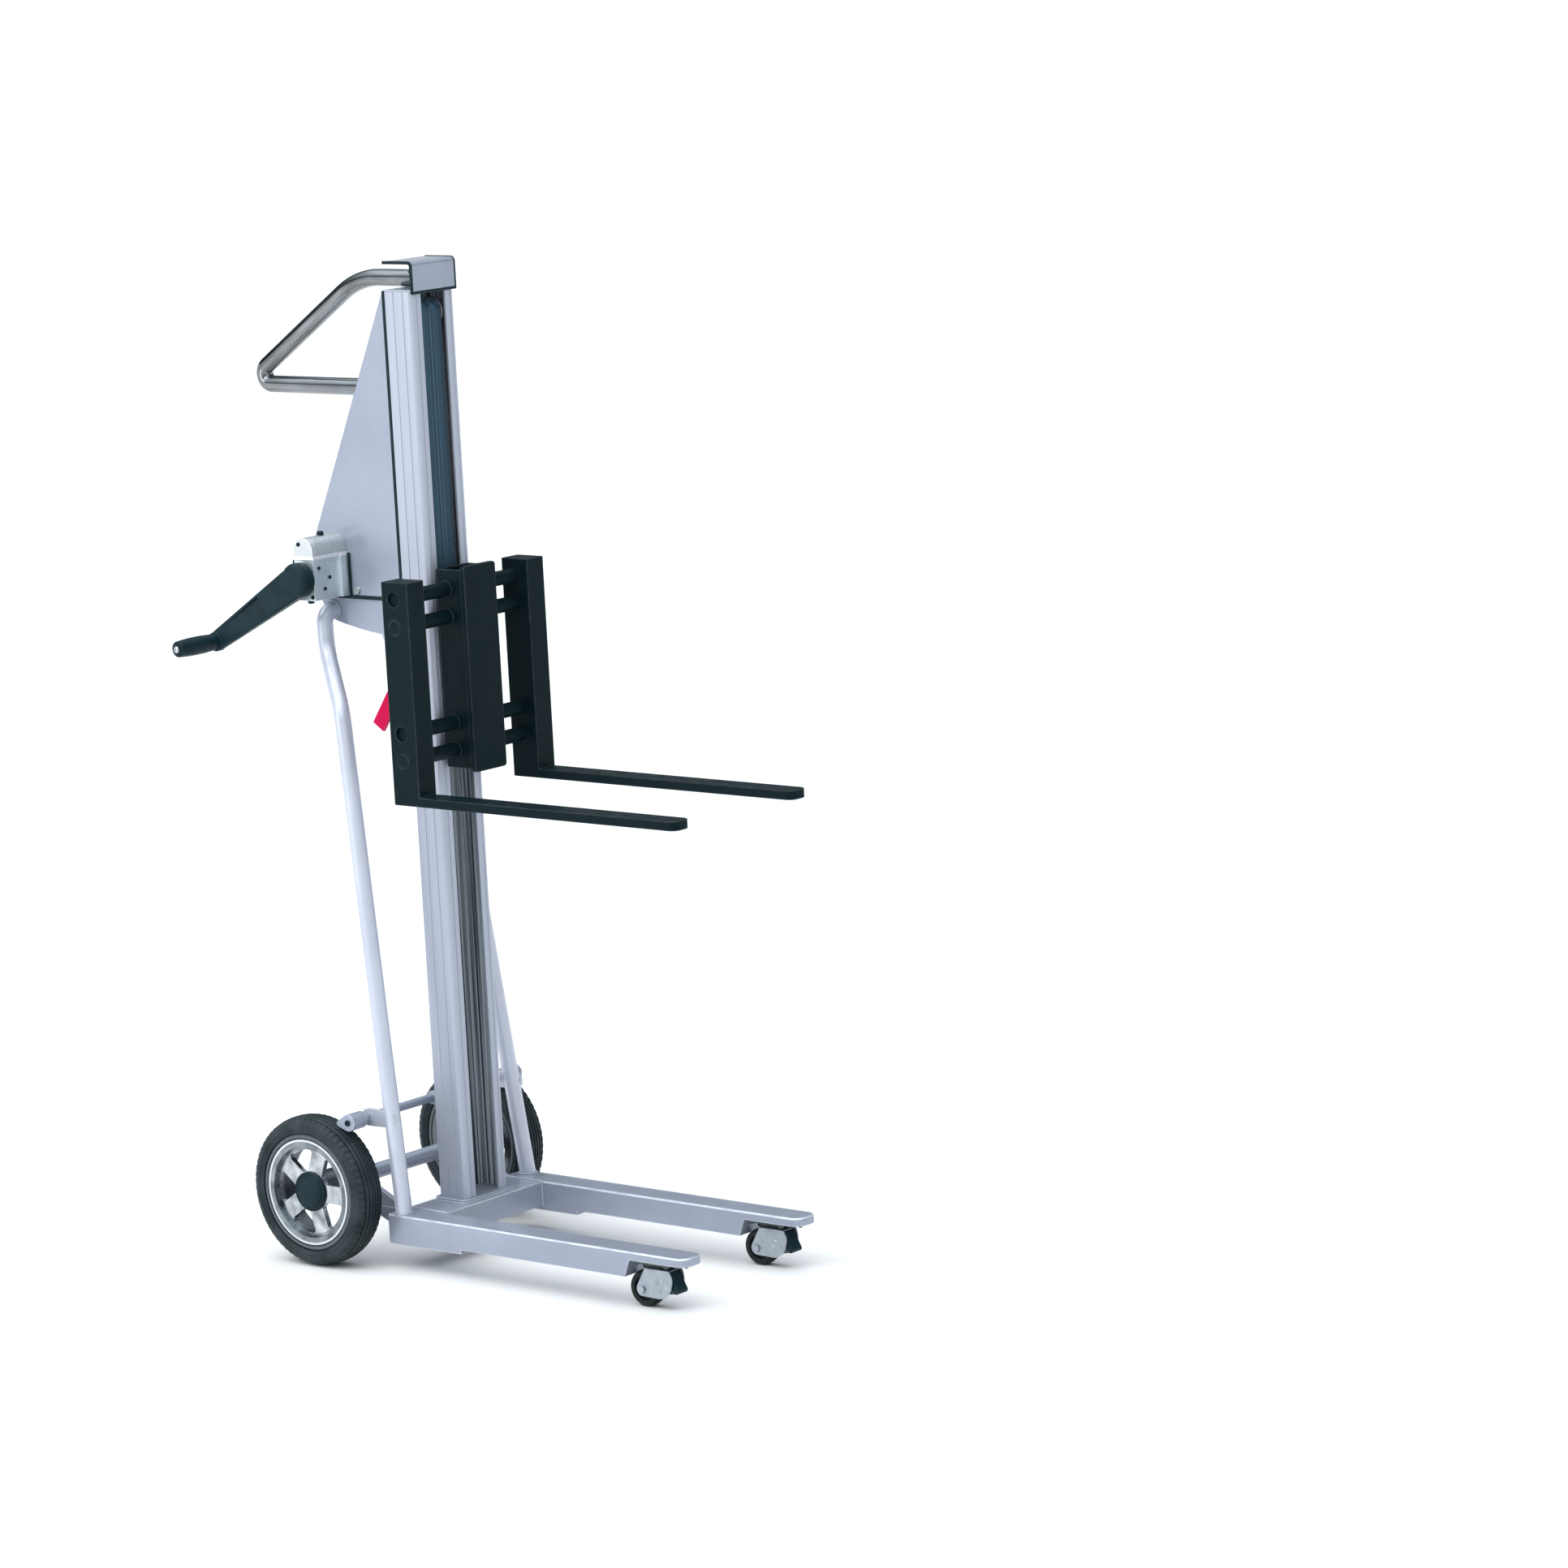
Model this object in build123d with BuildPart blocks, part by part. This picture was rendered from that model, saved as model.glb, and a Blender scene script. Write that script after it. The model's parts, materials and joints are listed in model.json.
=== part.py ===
"""A hand-winch mini stacker: a straddle base on two wheels and two casters, a slotted mast, a belt winch
with a crank, and a carriage with two forks.

Millimetres. +Z is up, the forks point along -Y and X = 0 is the mid plane. The origin is on the floor below
the middle of the mast. The operator stands behind the mast and faces the forks: right is -X, left is +X.
"""
import os
from math import acos, asin, atan2, cos, hypot, pi, radians, sin, tan

from build123d import *

# Clearances
run_gap = 0.05
slide_gap = 0.3
side_gap = 2.0

# Base
leg_width = 50.0
leg_height = 42.0
leg_bottom = 49.0
leg_spacing = 286.0
leg_rear = 39.0
leg_length = 504.0
cut_slant = 11.0
nose_length = 125.0
nose_height = 14.0
nose_corner = 18.0
base_sheet = 4.0
leg_fold = 4.0
pad_height = 7.0
pad_length = 156.0
cross_depth = 82.0
arm_thickness = 10.0
arm_end_radius = 24.0

leg_x = leg_spacing / 2
leg_inner = leg_x - leg_width / 2
leg_top = leg_bottom + leg_height
leg_cut = leg_rear - leg_length
nose_tip = leg_cut - nose_length
nose_bottom = leg_top - nose_height

# Rear wheels
wheel_radius = 125.0
tyre_width = 58.0
wheel_inset = 27.0
axle_y = 163.0
axle_radius = 13.0
spindle_radius = 10.0
bush_radius = 16.0
bush_length = 14.0
rim_seat_radius = 82.0
rim_wall = 6.0
rim_lip_radius = 88.0
rim_lip = 4.0
rim_inset = 4.0
hub_radius = 28.0
hub_recess = 12.0
hub_overhang = 8.0
web_thickness = 9.0
spoke_count = 5
spoke_width = 30.0
spoke_angle = 109.0
web_ring = 6.0
window_corner = 5.0
bead_height = 8.0
bead_groove = 2.0
tyre_shoulder = 7.0
tyre_crown = 4.5
sidewall_height = 14.0
tread_groove = 3.0
tread_spacing = 20.0
hub_cap_radius = 33.0
hub_cap_height = 8.0

axle_z = wheel_radius
wheel_inner = leg_x + wheel_inset
wheel_outer = wheel_inner + tyre_width
wheel_mid = (wheel_inner + wheel_outer) / 2
rim_outer = wheel_outer - rim_inset
rim_inner = wheel_inner + rim_inset
hub_outer = wheel_outer - hub_recess
hub_inner = wheel_inner - hub_overhang
spindle_end = hub_outer - rim_inset / 2

# Casters
caster_radius = 30.0
caster_width = 24.0
caster_trail = 23.0
caster_setback = 50.0
caster_plate_length = 76.0
caster_plate_thickness = 3.0
caster_head_radius = 24.0
caster_race_radius = 19.0
caster_head_height = 7.0
yoke_sheet = 2.5
yoke_gap = 2.0
yoke_end_radius = 11.0
cheek_radius = 30.0
cheek_lead = 9.0
cheek_height = 48.0
stud_radius = 5.0
caster_axle_radius = 4.0
caster_crown = 2.0
axle_nut_radius = 7.0
axle_nut_height = 3.5
pedal_width = 24.0
pedal_offset = 28.0
pedal_height = 57.0
pedal_reach = 15.0
pedal_drop = 24.0
pedal_boss_radius = 6.0
pedal_tip_radius = 5.0
pedal_pin_radius = 3.0
bolt_radius = 3.0
bolt_head_radius = 5.5
bolt_head_height = 3.5
bolt_inset_x = 7.0
bolt_inset_y = 7.0
bolt_length = 10.0
stop_radius = 4.5
stop_height = 7.0
stop_inset = 18.0

caster_y = leg_cut - caster_setback
caster_wheel_y = caster_y + caster_trail
caster_plate_bottom = nose_bottom - caster_plate_thickness
yoke_top = caster_plate_bottom - caster_head_height
yoke_half = caster_width / 2 + yoke_gap
pedal_y = caster_y - pedal_offset
pedal_z = pedal_height

# Mast
mast_width = 102.0
mast_depth = 58.0
mast_wall = 4.0
mast_length = 1486.0
mast_corner = 9.0
slot_width = 57.0
rib_spacing = 26.0
rib_width = 3.0
rib_height = 2.0
groove_width = 3.0
groove_depth = 1.0
groove_spacing = 20.0
foot_thickness = 6.0
foot_margin = 12.0
foot_corner = 12.0

mast_bottom = leg_top + foot_thickness
mast_top = mast_bottom + mast_length
mast_front = -mast_depth / 2
mast_rear = mast_depth / 2
channel_half = mast_depth / 2 - mast_wall
inside_half = mast_width / 2 - mast_wall

# Belt and top pulley
belt_width = 45.0
belt_thickness = 2.4
belt_wall_gap = 0.8
pulley_drop = 38.0
pulley_flange = 2.5
pulley_axle_radius = 6.0
axle_groove = 3.0
window_margin = 4.0

pulley_z = mast_top - pulley_drop
pulley_belt_radius = channel_half - belt_wall_gap - belt_thickness / 2
pulley_radius = pulley_belt_radius - belt_thickness / 2 - slide_gap

# Mast cap and push handle
cap_thickness = 3.0
cap_height = 48.0
cap_front_margin = 4.0
cap_rear_margin = 1.0
cap_bend = 8.0
handle_radius = 14.0
handle_wall = 2.0
handle_tip_y = -14.0
handle_knee_y = 130.0
handle_knee_radius = 150.0
handle_corner_y = 394.0
handle_corner_radius = 17.0
handle_drop = 161.0
handle_flange_radius = 24.0
handle_flange = 4.0

cap_top = mast_top + cap_height
handle_top_z = mast_top + cap_thickness + handle_radius + slide_gap
handle_low_z = mast_top - handle_drop

# Hood behind the mast
hood_sheet = 1.5
hood_gap = 1.5
hood_width = 102.0
hood_rise = 2.0
hood_height = 500.0
hood_bend = 4.0
hood_reach = 232.0
hood_apex = 5.0
screw_y = 129.0
screw_rise = 11.0
screw_radius = 3.0
screw_head_radius = 7.0
screw_head_height = 3.5

hood_top = mast_top + hood_rise
hood_bottom = hood_top - hood_height
hood_front = mast_rear + hood_gap
hood_slope = (hood_reach - hood_apex) / hood_height

# Bracket that carries the winch and the side tubes
bracket_plate = 5.0
bracket_back = 4.0
bracket_rear = 216.0
bracket_drop = 63.0
bracket_height = 193.0

bracket_bottom = hood_bottom - bracket_drop
bracket_top = bracket_bottom + bracket_height
bracket_half = hood_width / 2 - hood_sheet - run_gap * 10
bracket_inner = bracket_half - bracket_plate

# Winch
crank_y = 170.0
crank_rise = 38.0
gear_module = 2.5
pinion_teeth = 14
gear_teeth = 46
gear_width = 16.0
gear_backlash = 0.5
pressure_angle = 20.0
flank_steps = 3
gear_addendum = 0.8
gear_line_angle = -18.7
pinion_width = 20.0
shaft_radius = 8.0
drum_core_radius = 24.0
drum_flange_radius = 50.0
drum_flange = 4.0
drum_axle_radius = 8.0
coil_radius = 33.3
case_half = 21.0
case_below = 35.0
case_above = 67.0
case_length = 73.0
case_wall = 4.0
case_cover = 6.0
case_flange = 19.0
case_flange_margin = 5.0
case_rim_rise = 34.0
case_rim_height = 5.0
case_rim_margin = 3.0
ratchet_radius = 16.0
ratchet_root = 12.5
ratchet_teeth = 12
ratchet_width = 10.0
ratchet_from_cover = 26.0
pawl_pin_radius = 2.5
pawl_boss_radius = 5.5
pawl_rise = 37.0
pawl_inset = 1.0
pawl_outline = ((7.5, 11.5), (9.6, 12.6), (13.5, 22), (5.5, 38), (-5.5, 36), (2.5, 22), (8.45, 14.3))
brake_flange_radius = 15.0
brake_flange = 4.0
knob_radius = 6.0
knob_height = 6.0
rear_knob_length = 12.0

crank_z = hood_bottom + crank_rise
gear_centres = gear_module * (pinion_teeth + gear_teeth) / 2
drum_y = crank_y - gear_centres * cos(radians(gear_line_angle))
drum_z = crank_z - gear_centres * sin(radians(gear_line_angle))
drum_belt_radius = coil_radius + slide_gap + belt_thickness / 2
drum_half = belt_width / 2 + side_gap
pinion_inner_x = -drum_half - (gear_width - pinion_width) / 2
pinion_tip = gear_module * (pinion_teeth / 2 + 1)
pinion_root = gear_module * (pinion_teeth / 2 - 1.25)
gear_tip = gear_module * (gear_teeth / 2 + gear_addendum)
gear_root = gear_module * (gear_teeth / 2 - 1.25)
gear_phase = radians(gear_line_angle)
pinion_phase = gear_phase + pi + pi / pinion_teeth
case_inner_x = -hood_width / 2
case_outer_x = case_inner_x - case_length
cover_outer_x = case_outer_x - case_cover
ratchet_x = case_outer_x + ratchet_from_cover

# Crank
hub_crank_radius = 29.0
hub_crank_length = 30.0
crank_radius = 191.0
crank_droop = 32.6
crank_offset = 32.0
arm_root_width = 54.0
arm_root_thickness = 22.0
arm_tip_width = 32.0
arm_tip_thickness = 15.0
arm_boss_radius = 16.0
arm_corner = 5.0
arm_rail = 6.0
arm_recess = 2.5
hub_floor = 3.0
hub_round = 11.0
boss_round = 3.0
grip_length = 84.0
grip_radius = 15.0
grip_waist = 13.0
grip_screw_radius = 9.0
grip_screw_height = 4.0
grip_pin_radius = 5.0

hub_inner_x = cover_outer_x - slide_gap
hub_outer_x = hub_inner_x - hub_crank_length
grip_y = crank_y + crank_radius * cos(radians(crank_droop))
grip_z = crank_z - crank_radius * sin(radians(crank_droop))
arm_root_x = (hub_inner_x + hub_outer_x) / 2
arm_tip_x = arm_root_x - crank_offset
boss_outer_x = arm_tip_x - arm_tip_thickness / 2
boss_inner_x = arm_tip_x + arm_tip_thickness / 2
grip_start_x = boss_outer_x - slide_gap
grip_end_x = grip_start_x - grip_length

# Side tubes
tube_radius = 13.5
tube_wall = 2.0
tube_foot = (152.0, 18.0)
tube_bend = (121.0, 115.0)
tube_neck = (72.0, 187.0)
tube_top_drop = 23.0
tube_neck_drop = 62.0
tube_bend_drop = 90.0
tube_bend_radius = 80.0
tube_top_radius = 20.0
lug_thickness = 6.0
lug_x = 152.0
lug_radius = 14.0

tube_top_z = hood_bottom - tube_top_drop
tube_neck_z = tube_top_z - tube_neck_drop
tube_bend_z = tube_neck_z - tube_bend_drop

# Carriage and forks
plate_width = 76.0
plate_thickness = 8.0
plate_front = -94.0
plate_bottom = 808.0
plate_height = 335.0
plate_corner = 6.0
cheek_thickness = 6.0
carriage_gap = 5.0
tongue_gap = 2.5
tongue_thickness = 6.0
tongue_reach = 12.0
tongue_top_drop = 25.0
tongue_bottom_rise = 20.0
roller_width = 15.5
roller_axle_radius = 7.0
roller_inset = 26.0
bar_radius = 12.0
bar_y = -54.0
bar_heights = (1105.0, 1060.0, 888.0, 844.0)
bar_recess = 6.0
fork_width = 40.0
fork_spacing = 288.0
fork_rear = -30.0
fork_depth = 55.0
fork_bottom = 772.0
fork_height = 361.0
fork_thickness = 15.0
fork_reach = 531.0
fork_tip_corner = 14.0
clamp_height = 16.0
clamp_depth = 22.0

plate_top = plate_bottom + plate_height
carriage_rear = mast_front - carriage_gap
tongue_half = slot_width / 2 - tongue_gap
tongue_top = plate_top - tongue_top_drop
tongue_bottom = plate_bottom + tongue_bottom_rise
roller_radius = channel_half - slide_gap
roller_inner = tongue_half + tongue_gap + 1.0
roller_heights = (tongue_top - roller_inset, tongue_bottom + roller_inset)
clamp_top = tongue_top + clamp_height
fork_front = fork_rear - fork_depth
fork_tip = fork_front - fork_reach
fork_x = fork_spacing / 2

# Wheel brake
brake_angle = 124.4
brake_standoff = 21.7
brake_shaft_radius = 7.0
brake_swing = 12.0
shoe_width = 32.0
shoe_inset = 4.0
shoe_radius = 14.0
shoe_reach = 20.0
shoe_drop = 3.0
shoe_tip_radius = 5.0
brake_crank = 35.0
brake_arm_half = 4.0
brake_arm_radius = 11.0
rod_radius = 4.0
rod_eye_radius = 8.0
rod_eye_half = 2.0
link_pin_radius = 3.0
link_play = 1.2
lever_crank = 13.0
lever_length = 158.0
lever_angle = -56.6
lever_width = 26.0
lever_end = 14.0
lever_half = 3.0
lever_hub_radius = 10.0
lever_pin_radius = 4.0
ear_thickness = 4.0
ear_radius = 9.0
ear_base = 3.0
ear_base_height = 40.0

brake_y = axle_y + (wheel_radius + brake_standoff) * cos(radians(brake_angle))
brake_z = axle_z + (wheel_radius + brake_standoff) * sin(radians(brake_angle))
lever_pivot_z = bracket_bottom - side_gap - ear_base_height / 2
shoe_inner = wheel_inner + shoe_inset
shoe_outer = shoe_inner + shoe_width
half_travel = brake_crank * sin(radians(brake_swing / 2))
rod_y = brake_y - brake_crank * cos(radians(brake_swing / 2))
rod_x = brake_arm_half + side_gap + rod_eye_half
rod_bottom = brake_z - half_travel
rod_top = lever_pivot_z - half_travel
lever_pivot_y = rod_y + lever_crank * cos(asin(half_travel / lever_crank))
link_end = rod_x + rod_eye_half + side_gap
near_ear = -lever_half - side_gap
far_ear = link_end + side_gap

sides = ((-1, "right"), (1, "left"))


def save(piece, name):
    """Label a finished piece and write it."""
    piece.part.label = name
    export_step(piece.part, f"parts/{name}.step")


def side_plane(x):
    """A plane square to X, with +Y to its right and +Z up."""
    return Plane.YZ.offset(x)


def axis_plane(y, z):
    """A plane through an X axis at (y, z), with +X to its right and +Z up, for turned profiles."""
    return Plane(origin=(0, y, z), x_dir=(1, 0, 0), z_dir=(0, -1, 0))


def x_axis(y, z):
    return Axis((0, y, z), (1, 0, 0))


def polar(radius, angle):
    return (radius * cos(angle), radius * sin(angle))


def hood_rear(z):
    """Y of the hood's slanted rear face at height z."""
    return hood_front + hood_apex + (hood_top - z) * hood_slope


def hull_strip(start, start_radius, end, end_radius):
    """A bar with round ends of two sizes, drawn in the open sketch."""
    with Locations(start):
        Circle(start_radius)
    with Locations(end):
        Circle(end_radius)
    make_hull()


def case_outline(margin):
    """The gear case's end view, drawn in the open sketch: square below, arched above."""
    half = case_half - margin
    low = crank_z - case_below + margin
    spring = crank_z + case_above - case_half
    with BuildLine() as outline:
        Polyline(
            (crank_y - half, spring),
            (crank_y - half, low),
            (crank_y + half, low),
            (crank_y + half, spring),
        )
        ThreePointArc((crank_y + half, spring), (crank_y, spring + half), (crank_y - half, spring))
    make_face(outline.edges())


def gear_outline(teeth, tip_radius, root_radius, phase):
    """Corner points of a spur gear whose flanks follow the involute."""
    pitch_radius = gear_module * teeth / 2
    pressure = radians(pressure_angle)
    base_radius = pitch_radius * cos(pressure)
    half_tooth = pi / (2 * teeth) - gear_backlash / (4 * pitch_radius) + tan(pressure) - pressure
    start_radius = max(base_radius, root_radius)
    flank = []
    for step in range(flank_steps + 1):
        radius = start_radius + (tip_radius - start_radius) * step / flank_steps
        roll = acos(base_radius / radius)
        flank.append((radius, half_tooth - tan(roll) + roll))
    if root_radius < base_radius:
        flank.insert(0, (root_radius, flank[0][1]))
    points = []
    for tooth in range(teeth):
        middle = phase + 2 * pi * tooth / teeth
        points += [polar(radius, middle - half) for radius, half in flank]
        points += [polar(radius, middle + half) for radius, half in reversed(flank)]
    return points


os.makedirs("parts", exist_ok=True)

# Base: two folded legs with a rear pad and an axle arm, joined by a cross member
for side, word in sides:
    with BuildPart() as leg:
        with BuildSketch(side_plane(side * leg_x)):
            with BuildLine():
                Polyline(
                    (leg_rear, leg_bottom),
                    (leg_cut, leg_bottom),
                    (leg_cut - cut_slant, nose_bottom),
                    (nose_tip, nose_bottom),
                    (nose_tip, leg_top),
                    (leg_rear, leg_top),
                    close=True,
                )
            make_face()
        extrude(amount=leg_width / 2, both=True)
        fillet(leg.edges().filter_by(Axis.Z).group_by(Axis.Y)[0], radius=nose_corner)
        top_edges = leg.faces().sort_by(Axis.Z)[-1].edges().sort_by(Axis.Y)
        fillet(top_edges[:-1], radius=leg_fold)
        hollow_length = leg_length - 2 * base_sheet
        with BuildSketch(Plane.XY.offset(leg_bottom)):
            with Locations((side * leg_x, leg_rear - leg_length / 2)):
                Rectangle(leg_width - 2 * base_sheet, hollow_length)
        extrude(amount=leg_height - base_sheet, mode=Mode.SUBTRACT)
        with BuildSketch(Plane.XY.offset(leg_bottom)):
            with Locations((side * leg_x, leg_rear - pad_length / 2)):
                Rectangle(leg_width, pad_length)
        extrude(amount=-pad_height)
        with BuildSketch(side_plane(side * (leg_inner + arm_thickness / 2))):
            with BuildLine():
                Polyline(
                    (leg_rear - leg_height, leg_bottom),
                    (leg_rear, leg_bottom),
                    (axle_y, axle_z - arm_end_radius),
                    (axle_y, axle_z + arm_end_radius),
                    (leg_rear, leg_top),
                    (leg_rear - leg_height, leg_top),
                    close=True,
                )
            make_face()
            with Locations((axle_y, axle_z)):
                Circle(arm_end_radius)
        extrude(amount=arm_thickness / 2, both=True)
        with BuildSketch(side_plane(side * leg_x)):
            with Locations((axle_y, axle_z)):
                Circle(axle_radius + run_gap)
        extrude(amount=leg_width, both=True, mode=Mode.SUBTRACT)
        with BuildSketch(Plane.XY.offset(nose_bottom)):
            with Locations((side * leg_x, caster_y)):
                with GridLocations(
                    leg_width - 2 * bolt_inset_x, caster_plate_length - 2 * bolt_inset_y, 2, 2
                ):
                    Circle(bolt_radius + run_gap)
        extrude(amount=bolt_length, mode=Mode.SUBTRACT)
    save(leg, f"{word}_leg")

with BuildPart() as cross_member:
    with BuildSketch(Plane.XY.offset(leg_bottom)):
        with Locations((0, leg_rear - cross_depth / 2)):
            Rectangle(2 * leg_inner, cross_depth)
    extrude(amount=leg_height)
    with BuildSketch(Plane.XY.offset(leg_bottom)):
        with Locations((0, leg_rear - cross_depth / 2)):
            Rectangle(2 * leg_inner, cross_depth - 2 * base_sheet)
    extrude(amount=leg_height - base_sheet, mode=Mode.SUBTRACT)
save(cross_member, "cross_member")

with BuildPart() as mast_foot:
    with BuildSketch(Plane.XY.offset(leg_top)):
        RectangleRounded(mast_width + 2 * foot_margin, mast_depth + foot_margin, foot_corner)
    extrude(amount=foot_thickness)
save(mast_foot, "mast_foot")

# Mast: an extruded channel with a front slot, two ribs down its rear wall and grooves outside
with BuildPart() as mast:
    with BuildSketch(Plane.XY.offset(mast_bottom)) as section:
        Rectangle(mast_width, mast_depth)
        fillet(section.vertices().group_by(Axis.Y)[0], radius=mast_corner)
        Rectangle(2 * inside_half, 2 * channel_half, mode=Mode.SUBTRACT)
        with Locations((0, mast_front)):
            Rectangle(slot_width, 2 * mast_wall, mode=Mode.SUBTRACT)
        with Locations((0, channel_half - rib_height / 2)):
            with GridLocations(rib_spacing, 0, 2, 1):
                Rectangle(rib_width, rib_height)
        with Locations((0, mast_front)):
            with GridLocations((mast_width + slot_width) / 2, 0, 2, 1):
                Rectangle(groove_width, 2 * groove_depth, mode=Mode.SUBTRACT)
        with GridLocations(mast_width, groove_spacing, 2, 2):
            Rectangle(2 * groove_depth, groove_width, mode=Mode.SUBTRACT)
    extrude(amount=mast_length)
    with BuildSketch(Plane.XZ.offset(-mast_rear)):
        with Locations((0, pulley_z - pulley_drop / 2)):
            Rectangle(belt_width + 2 * window_margin, 3 * pulley_drop)
    extrude(amount=2 * mast_wall, mode=Mode.SUBTRACT)
    with BuildSketch(side_plane(0)):
        with Locations((0, pulley_z)):
            Circle(pulley_axle_radius + run_gap)
        with Locations((0, (pulley_z + mast_top) / 2)):
            Rectangle(2 * (pulley_axle_radius + run_gap), mast_top - pulley_z)
    extrude(amount=inside_half + axle_groove, both=True, mode=Mode.SUBTRACT)
save(mast, "mast")

# Belt wheel at the mast's top
with BuildPart() as pulley_axle:
    with BuildSketch(side_plane(0)):
        with Locations((0, pulley_z)):
            Circle(pulley_axle_radius)
    extrude(amount=inside_half + axle_groove - run_gap, both=True)
save(pulley_axle, "pulley_axle")

pulley_half = belt_width / 2 + side_gap / 2
with BuildPart() as top_pulley:
    with BuildSketch(axis_plane(0, pulley_z)):
        with BuildLine():
            Polyline(
                (-pulley_half - pulley_flange, pulley_axle_radius + run_gap),
                (-pulley_half - pulley_flange, pulley_belt_radius + belt_thickness / 2),
                (-pulley_half, pulley_belt_radius + belt_thickness / 2),
                (-pulley_half, pulley_radius),
                (pulley_half, pulley_radius),
                (pulley_half, pulley_belt_radius + belt_thickness / 2),
                (pulley_half + pulley_flange, pulley_belt_radius + belt_thickness / 2),
                (pulley_half + pulley_flange, pulley_axle_radius + run_gap),
                close=True,
            )
        make_face()
    revolve(axis=x_axis(0, pulley_z))
save(top_pulley, "top_pulley")

# Mast cap: a bent plate, open at its sides and rear
with BuildPart() as mast_cap:
    cap_front = mast_front - cap_front_margin
    cap_rear = mast_rear + cap_rear_margin
    with BuildSketch(side_plane(0)) as profile:
        with Locations(((cap_front + cap_rear) / 2, (mast_top + cap_top) / 2)):
            Rectangle(cap_rear - cap_front, cap_height)
        fillet(profile.vertices().group_by(Axis.X)[0].sort_by(Axis.Y)[-1], radius=cap_bend)
        with Locations((cap_rear + cap_thickness, (mast_top + cap_top) / 2)):
            RectangleRounded(
                2 * (cap_rear - cap_front),
                cap_height - 2 * cap_thickness,
                cap_bend - cap_thickness,
                mode=Mode.SUBTRACT,
            )
    extrude(amount=mast_width / 2, both=True)
save(mast_cap, "mast_cap")

# Push handle: one bent tube in the mid plane, from under the cap to a flange on the hood
with BuildPart() as push_handle:
    with BuildLine() as route:
        FilletPolyline(
            (0, handle_tip_y, handle_top_z),
            (0, handle_knee_y, handle_top_z),
            (0, handle_corner_y, handle_low_z),
            (0, hood_front, handle_low_z),
            radius=[handle_knee_radius, handle_corner_radius],
        )
    with BuildSketch(Plane(origin=route.line @ 0, z_dir=route.line % 0)):
        Circle(handle_radius)
        Circle(handle_radius - handle_wall, mode=Mode.SUBTRACT)
    sweep(path=route.line)
    with BuildSketch(side_plane(0)):
        with BuildLine():
            Polyline(
                (mast_front, hood_bottom),
                (hood_rear(hood_bottom), hood_bottom),
                (hood_rear(hood_top), hood_top),
                (mast_front, hood_top),
                close=True,
            )
        make_face()
    extrude(amount=hood_width / 2, both=True, mode=Mode.SUBTRACT)
    foot = (0, hood_rear(handle_low_z), handle_low_z)
    with BuildSketch(Plane(origin=foot, x_dir=(1, 0, 0), z_dir=(0, 1, hood_slope))):
        Circle(handle_flange_radius)
    extrude(amount=handle_flange)
save(push_handle, "push_handle")

# Hood: a folded sheet cover, open towards the mast and below
with BuildPart() as hood:
    with BuildSketch(side_plane(0)):
        with BuildLine():
            Polyline(
                (hood_front, hood_bottom),
                (hood_rear(hood_bottom), hood_bottom),
                (hood_rear(hood_top), hood_top),
                (hood_front, hood_top),
                close=True,
            )
        make_face()
    extrude(amount=hood_width / 2, both=True)
    rear_face = hood.faces().sort_by(Axis.Y)[-1]
    fillet(rear_face.edges().filter_by(Axis.X, reverse=True), radius=hood_bend)
    offset(
        amount=-hood_sheet,
        openings=[hood.faces().sort_by(Axis.Y)[0], hood.faces().sort_by(Axis.Z)[0]],
    )
    with BuildSketch(side_plane(-hood_width / 2)):
        with Locations((crank_y, crank_z)):
            Circle(shaft_radius + run_gap)
    extrude(amount=2 * hood_sheet, both=True, mode=Mode.SUBTRACT)
    with BuildSketch(side_plane(0)):
        with Locations((screw_y, hood_bottom + screw_rise)):
            Circle(screw_radius + run_gap)
    extrude(amount=hood_width, both=True, mode=Mode.SUBTRACT)
save(hood, "hood")

with BuildPart() as hood_screws:
    for side, word in sides:
        with BuildSketch(side_plane(side * bracket_inner)):
            with Locations((screw_y, hood_bottom + screw_rise)):
                Circle(screw_radius)
        extrude(amount=side * (hood_width / 2 - bracket_inner))
        with BuildSketch(side_plane(side * hood_width / 2)):
            with Locations((screw_y, hood_bottom + screw_rise)):
                Circle(screw_head_radius)
        extrude(amount=side * screw_head_height, taper=20)
save(hood_screws, "hood_screws")

# Bracket: two cheek plates on a back plate
with BuildPart() as winch_bracket:
    with BuildSketch(side_plane(0)):
        with BuildLine():
            ThreePointArc(
                (mast_rear, bracket_bottom),
                ((mast_rear + tube_neck[1]) / 2, bracket_bottom + tube_radius / 2),
                (tube_neck[1] + tube_radius, tube_top_z - tube_radius),
            )
            Polyline(
                (tube_neck[1] + tube_radius, tube_top_z - tube_radius),
                (bracket_rear, hood_bottom),
                (bracket_rear, crank_z + case_below),
                (crank_y, bracket_top),
                (mast_rear, bracket_top),
                (mast_rear, bracket_bottom),
            )
        make_face()
    extrude(amount=bracket_half, both=True)
    with BuildSketch(side_plane(0)):
        with Locations((mast_rear + bracket_back + bracket_rear / 2, (bracket_bottom + bracket_top) / 2)):
            Rectangle(bracket_rear, 2 * (bracket_top - bracket_bottom))
    extrude(amount=bracket_inner, both=True, mode=Mode.SUBTRACT)
    with BuildSketch(side_plane(0)):
        with Locations((drum_y, drum_z)):
            Circle(drum_axle_radius + run_gap)
        with Locations((screw_y, hood_bottom + screw_rise)):
            Circle(screw_radius + run_gap)
    extrude(amount=hood_width, both=True, mode=Mode.SUBTRACT)
    with BuildSketch(side_plane(-bracket_half)):
        with Locations((crank_y, crank_z)):
            Circle(shaft_radius + run_gap)
    extrude(amount=2 * bracket_plate, both=True, mode=Mode.SUBTRACT)
save(winch_bracket, "winch_bracket")

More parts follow.
